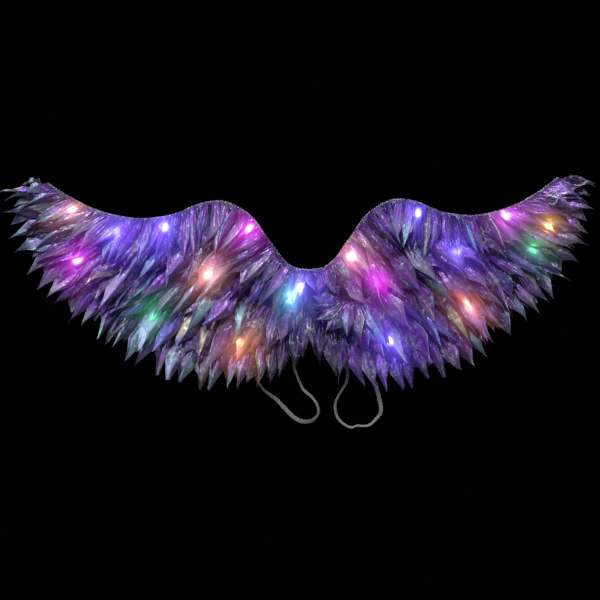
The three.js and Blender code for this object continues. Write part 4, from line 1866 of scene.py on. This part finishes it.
# Strap routes from the upper sewn end, down round the hanging loop and back up to the lower sewn end: X, Z,
# distance behind the backing, and the band's turn out of the wing's plane in degrees.
STRAP_ROUTES: dict[Side, tuple[tuple[float, float, float, float], ...]] = {
    Side.LEFT: (
        (-45, 44, 0.8, 0), (-47, 34, 0.9, 0), (-56, -10, 2.2, 8), (-68, -58, 3.2, 20),
        (-79, -96, 3.8, 55), (-73, -111, 4, 62), (-64, -121, 4, 48), (-50, -131, 4, 28),
        (-36.5, -145, 4, 8), (-23, -158.5, 4, 6), (-10.5, -165, 4, 18), (2, -164.5, 4, 34),
        (11, -158, 4, 50), (14.5, -149.5, 4, 56), (11, -137.5, 4, 60), (2.5, -126.5, 4, 56),
        (-7.5, -118, 4, 54), (-13, -108, 4, 58), (-17.5, -97, 4, 62), (-22, -83.5, 3.8, 50),
        (-20, -62, 3.2, 20), (-18, -44, 1.4, 4), (-17, -30, 0.8, 0),
    ),
    Side.RIGHT: (
        (55, 40, 0.8, 0), (57, 30, 0.9, 0), (70, -12, 2.2, 8), (84, -60, 3.2, 16), (95, -94, 3.8, 26),
        (101.5, -113, 4, 12), (105.5, -129, 4, 10), (108.5, -144, 4, 14), (107, -153.5, 4, 38),
        (98.5, -164, 4, 54), (90.5, -170.5, 4, 62), (82, -172, 4, 68), (72.5, -171.5, 4, 70),
        (63, -174, 4, 66), (53.5, -169.5, 4, 60), (44, -160.5, 4, 56), (40, -149.5, 4, 54),
        (40, -137.5, 4, 56), (45, -125, 4, 60), (53.5, -111.5, 4, 56), (58, -101, 4, 50),
        (57, -86, 3.8, 40), (44, -62, 3.2, 20), (27, -42, 1.4, 4), (18, -30, 0.8, 0),
    ),
}


@dataclass
class Strap:
    """A flat elastic shoulder strap, sewn to the back of one backing and hanging below it in a loop."""

    side: Side
    width: float = 6.0
    thickness: float = 1.0
    roundness: Span = (0.4, 0.7)  # exponents of the section across and out of its face
    sides: int = 20
    steps_per_point: int = 14

    def build(self, material: Material) -> Object:
        """Builds the strap: a flat section with round edges, carried along its route and turned about it.

        The section is a superellipse: half width * sign(cos) |cos|^a across, and half thickness * sign(sin)
        |sin|^b out of the band's face, where a and b are its roundness.

        Args:
            material: the elastic.

        Returns:
            The piece.
        """
        table = np.array(STRAP_ROUTES[self.side], dtype=float)
        route = np.stack([table[:, 0], BACKING_BACK + table[:, 2], table[:, 1]], axis=-1)
        places = np.linspace(0, len(table) - 1, self.steps_per_point * (len(table) - 1) + 1)
        centres = smooth_line(route, places)
        turn = np.radians(smooth_line(table[:, 3:], places, flared=False))
        along = unit(np.gradient(centres, axis=0))
        flat = unit(np.cross(along, FORWARD))
        across = flat * np.cos(turn) + np.cross(along, flat) * np.sin(turn)
        face = np.cross(across, along)
        ring = circle(self.sides)
        section = np.sign(ring) * np.abs(ring) ** self.roundness * (self.width / 2, self.thickness / 2)
        points, faces = tube(centres, across, face, section)
        run = run_length(centres)
        weave = np.stack([np.tile(section[:, 0], len(run)), np.repeat(run, self.sides)], axis=-1)
        name = f"strap_{self.side.value}"
        return make_piece(f"{name}_elastic", points, faces, material, name, weave=weave)


@dataclass
class BatteryCase:
    """A flat moulded battery case whose back face rests on the wearer's back."""

    width: float = 56.0
    height: float = 34.0
    corner: float = 6.0
    bevel: float = 1.5
    lid_inset: float = 4.0
    groove: float = 0.5
    groove_draft: float = 0.1
    cap_inset: float = 8.0  # where the flat faces' caps begin
    least_corner: float = 0.6
    corner_steps: int = 8
    bevel_steps: int = 5

    def outline(self, inset: float) -> Array:
        """A rounded rectangle in X and Z, drawn in by inset.

        Args:
            inset: how far inside the case's outline.

        Returns:
            The outline's points.
        """
        radius = max(self.corner - inset, self.least_corner)
        angle = np.radians(np.linspace(0, 90, self.corner_steps))
        arcs = []
        for quarter, (sx, sz) in enumerate(((1, 1), (-1, 1), (-1, -1), (1, -1))):
            turn = angle + quarter * np.pi / 2
            x = sx * (self.width / 2 - inset - radius) + radius * np.cos(turn)
            z = sz * (self.height / 2 - inset - radius) + radius * np.sin(turn)
            arcs.append(np.stack([x, z], axis=-1))
        return np.vstack(arcs)

    def build(self, material: Material) -> Object:
        """Builds the case: its outline stacked from front to back, with round rims and a lid groove behind.

        Args:
            material: the moulded plastic.

        Returns:
            The piece.
        """
        angle = np.linspace(0, np.pi / 2, self.bevel_steps)
        arc_in = self.bevel * (1 - np.sin(angle))
        arc_y = self.bevel * (1 - np.cos(angle))
        groove = self.groove
        lid = self.lid_inset + np.array([0.0, self.groove_draft, groove, groove + self.groove_draft])
        inset = np.concatenate([[self.cap_inset], arc_in, arc_in[::-1], lid, [self.cap_inset]])
        y = np.concatenate([[-CASE_DEPTH], -CASE_DEPTH + arc_y, -arc_y[::-1], [0, -groove, -groove, 0, 0]])
        rings = [self.outline(step) for step in inset]
        points = np.stack([np.insert(ring, 1, depth, axis=1) for ring, depth in zip(rings, y)])
        faces = capped_rings(*points.shape[:2])
        return make_piece(
            "battery_case_shell", points.reshape(-1, 3), faces, material, "battery_case",
            crease=35.0,
        )


@dataclass(frozen=True)
class SoftLight:
    """A square soft box that faces the wings: its place and side in metres, its power in watts."""

    name: str
    place: tuple[float, float, float]
    side: float
    watts: float

    def build(self) -> None:
        """Hangs the soft box."""
        data = bpy.data.lights.new(self.name, "AREA")
        data.shape = "SQUARE"
        data.size = self.side
        data.energy = self.watts
        lamp = bpy.data.objects.new(self.name, data)
        lamp.location = self.place
        lamp.rotation_mode = "QUATERNION"
        lamp.rotation_quaternion = (-Vector(self.place)).to_track_quat("-Z", "Y")
        lamp.visible_camera = False
        bpy.context.scene.collection.objects.link(lamp)


@dataclass(frozen=True)
class Studio:
    """A plain pale floor, soft lights and a camera square to the ruffled side, in metres."""

    seen: float = 0.9
    distance: float = 2.6
    subject_y: float = -0.02
    aim_x: float = -0.0135
    aim_z: float = 0.018
    sensor_mm: float = 36.0
    floor_drop: float = 1.2
    floor_size: float = 3.2
    floor_colour: str = "d9d6d2"
    floor_worn: str = "cfccc8"
    floor_mottle: float = 1 / 6
    dark: str = "010102"
    lights: tuple[SoftLight, ...] = (
        SoftLight("key_light", (-0.3, -1.4, 2.1), 0.5, 31.0),
        SoftLight("left_light", (-2.0, -1.3, 0.7), 0.5, 16.0),
        SoftLight("right_light", (2.0, -1.3, 0.4), 0.5, 11.0),
        SoftLight("back_light", (0.5, 2.2, 1.0), 1.2, 22.0),
    )

    def camera(self) -> None:
        """Places the camera so that its frame takes in the width seen at the ruffles."""
        data = bpy.data.cameras.new("camera")
        data.sensor_width = self.sensor_mm
        data.lens = self.sensor_mm * self.distance / self.seen
        camera = bpy.data.objects.new("camera", data)
        camera.location = (self.aim_x, self.subject_y - self.distance, self.aim_z)
        camera.rotation_euler = (np.pi / 2, 0, 0)
        bpy.context.scene.collection.objects.link(camera)
        bpy.context.scene.camera = camera

    def floor(self) -> None:
        """Lays a pale floor as far below the wings as a wearer's feet, with a faint mottle."""
        half = self.floor_size / 2
        mesh = bpy.data.meshes.new("floor")
        corners = [(-half, -half), (half, -half), (half, half), (-half, half)]
        mesh.from_pydata([(x, y, -self.floor_drop) for x, y in corners], [], [(0, 1, 2, 3)])
        material, shader = start_material("pale_studio_floor", {"Roughness": 0.85})
        tree = material.node_tree
        place = add_node(tree, "TexCoord")
        mottle = add_node(
            tree, "TexNoise", {"Scale": 1 / self.floor_mottle, "Detail": 4.0},
            {"Vector": (place, "Object")},
        )
        tone = mix_colours(tree, mottle, self.floor_colour, self.floor_worn)
        feed(shader, {"Base Color": (tone, 2)})
        mesh.materials.append(material)
        floor = bpy.data.objects.new("floor", mesh)
        bpy.context.scene.collection.objects.link(floor)

    def build(self) -> None:
        """Sets up the dark surround, the floor, the lights and the camera."""
        world = bpy.data.worlds.new("dark_studio")
        world.use_nodes = True
        background = world.node_tree.nodes["Background"]
        background.inputs["Color"].default_value = socket_colour(self.dark)
        bpy.context.scene.world = world
        bpy.context.scene.view_settings.view_transform = "Standard"
        self.camera()
        self.floor()
        for light in self.lights:
            light.build()


def main() -> None:
    logging.basicConfig(level=logging.INFO, format="%(message)s")
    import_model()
    Studio().build()

    film = IridescentLame()
    lame = film.material()
    taffeta = BackingCloth().material()
    elastic = BraidedElastic().material()
    insulation = MouldedPlastic("clear_pvc_insulation", "cfc8d8", roughness=0.32).material()
    shell = MouldedPlastic("moulded_abs_shell", "e6e2ea", roughness=0.45).material()
    lenses = {colour: LampLens(colour).material() for colour in LampColour}

    EdgeBinding().build(film, lame)
    BatteryCase().build(shell)
    for side in Side:
        backing = Backing(side)
        backing.build(taffeta)
        backing.seams(taffeta)
        Lead(side).build(insulation)
        Strap(side).build(elastic)
        for row in ROWS:
            Ruffle(row, side, film).build(lame)
        for number, spot in enumerate(LAMPS[side], start=1):
            Lamp(f"lamp_{side.value}_{number:02d}", spot).build(lenses[spot.colour])
    LeadLoop().build(insulation)


if __name__ == "__main__":
    main()
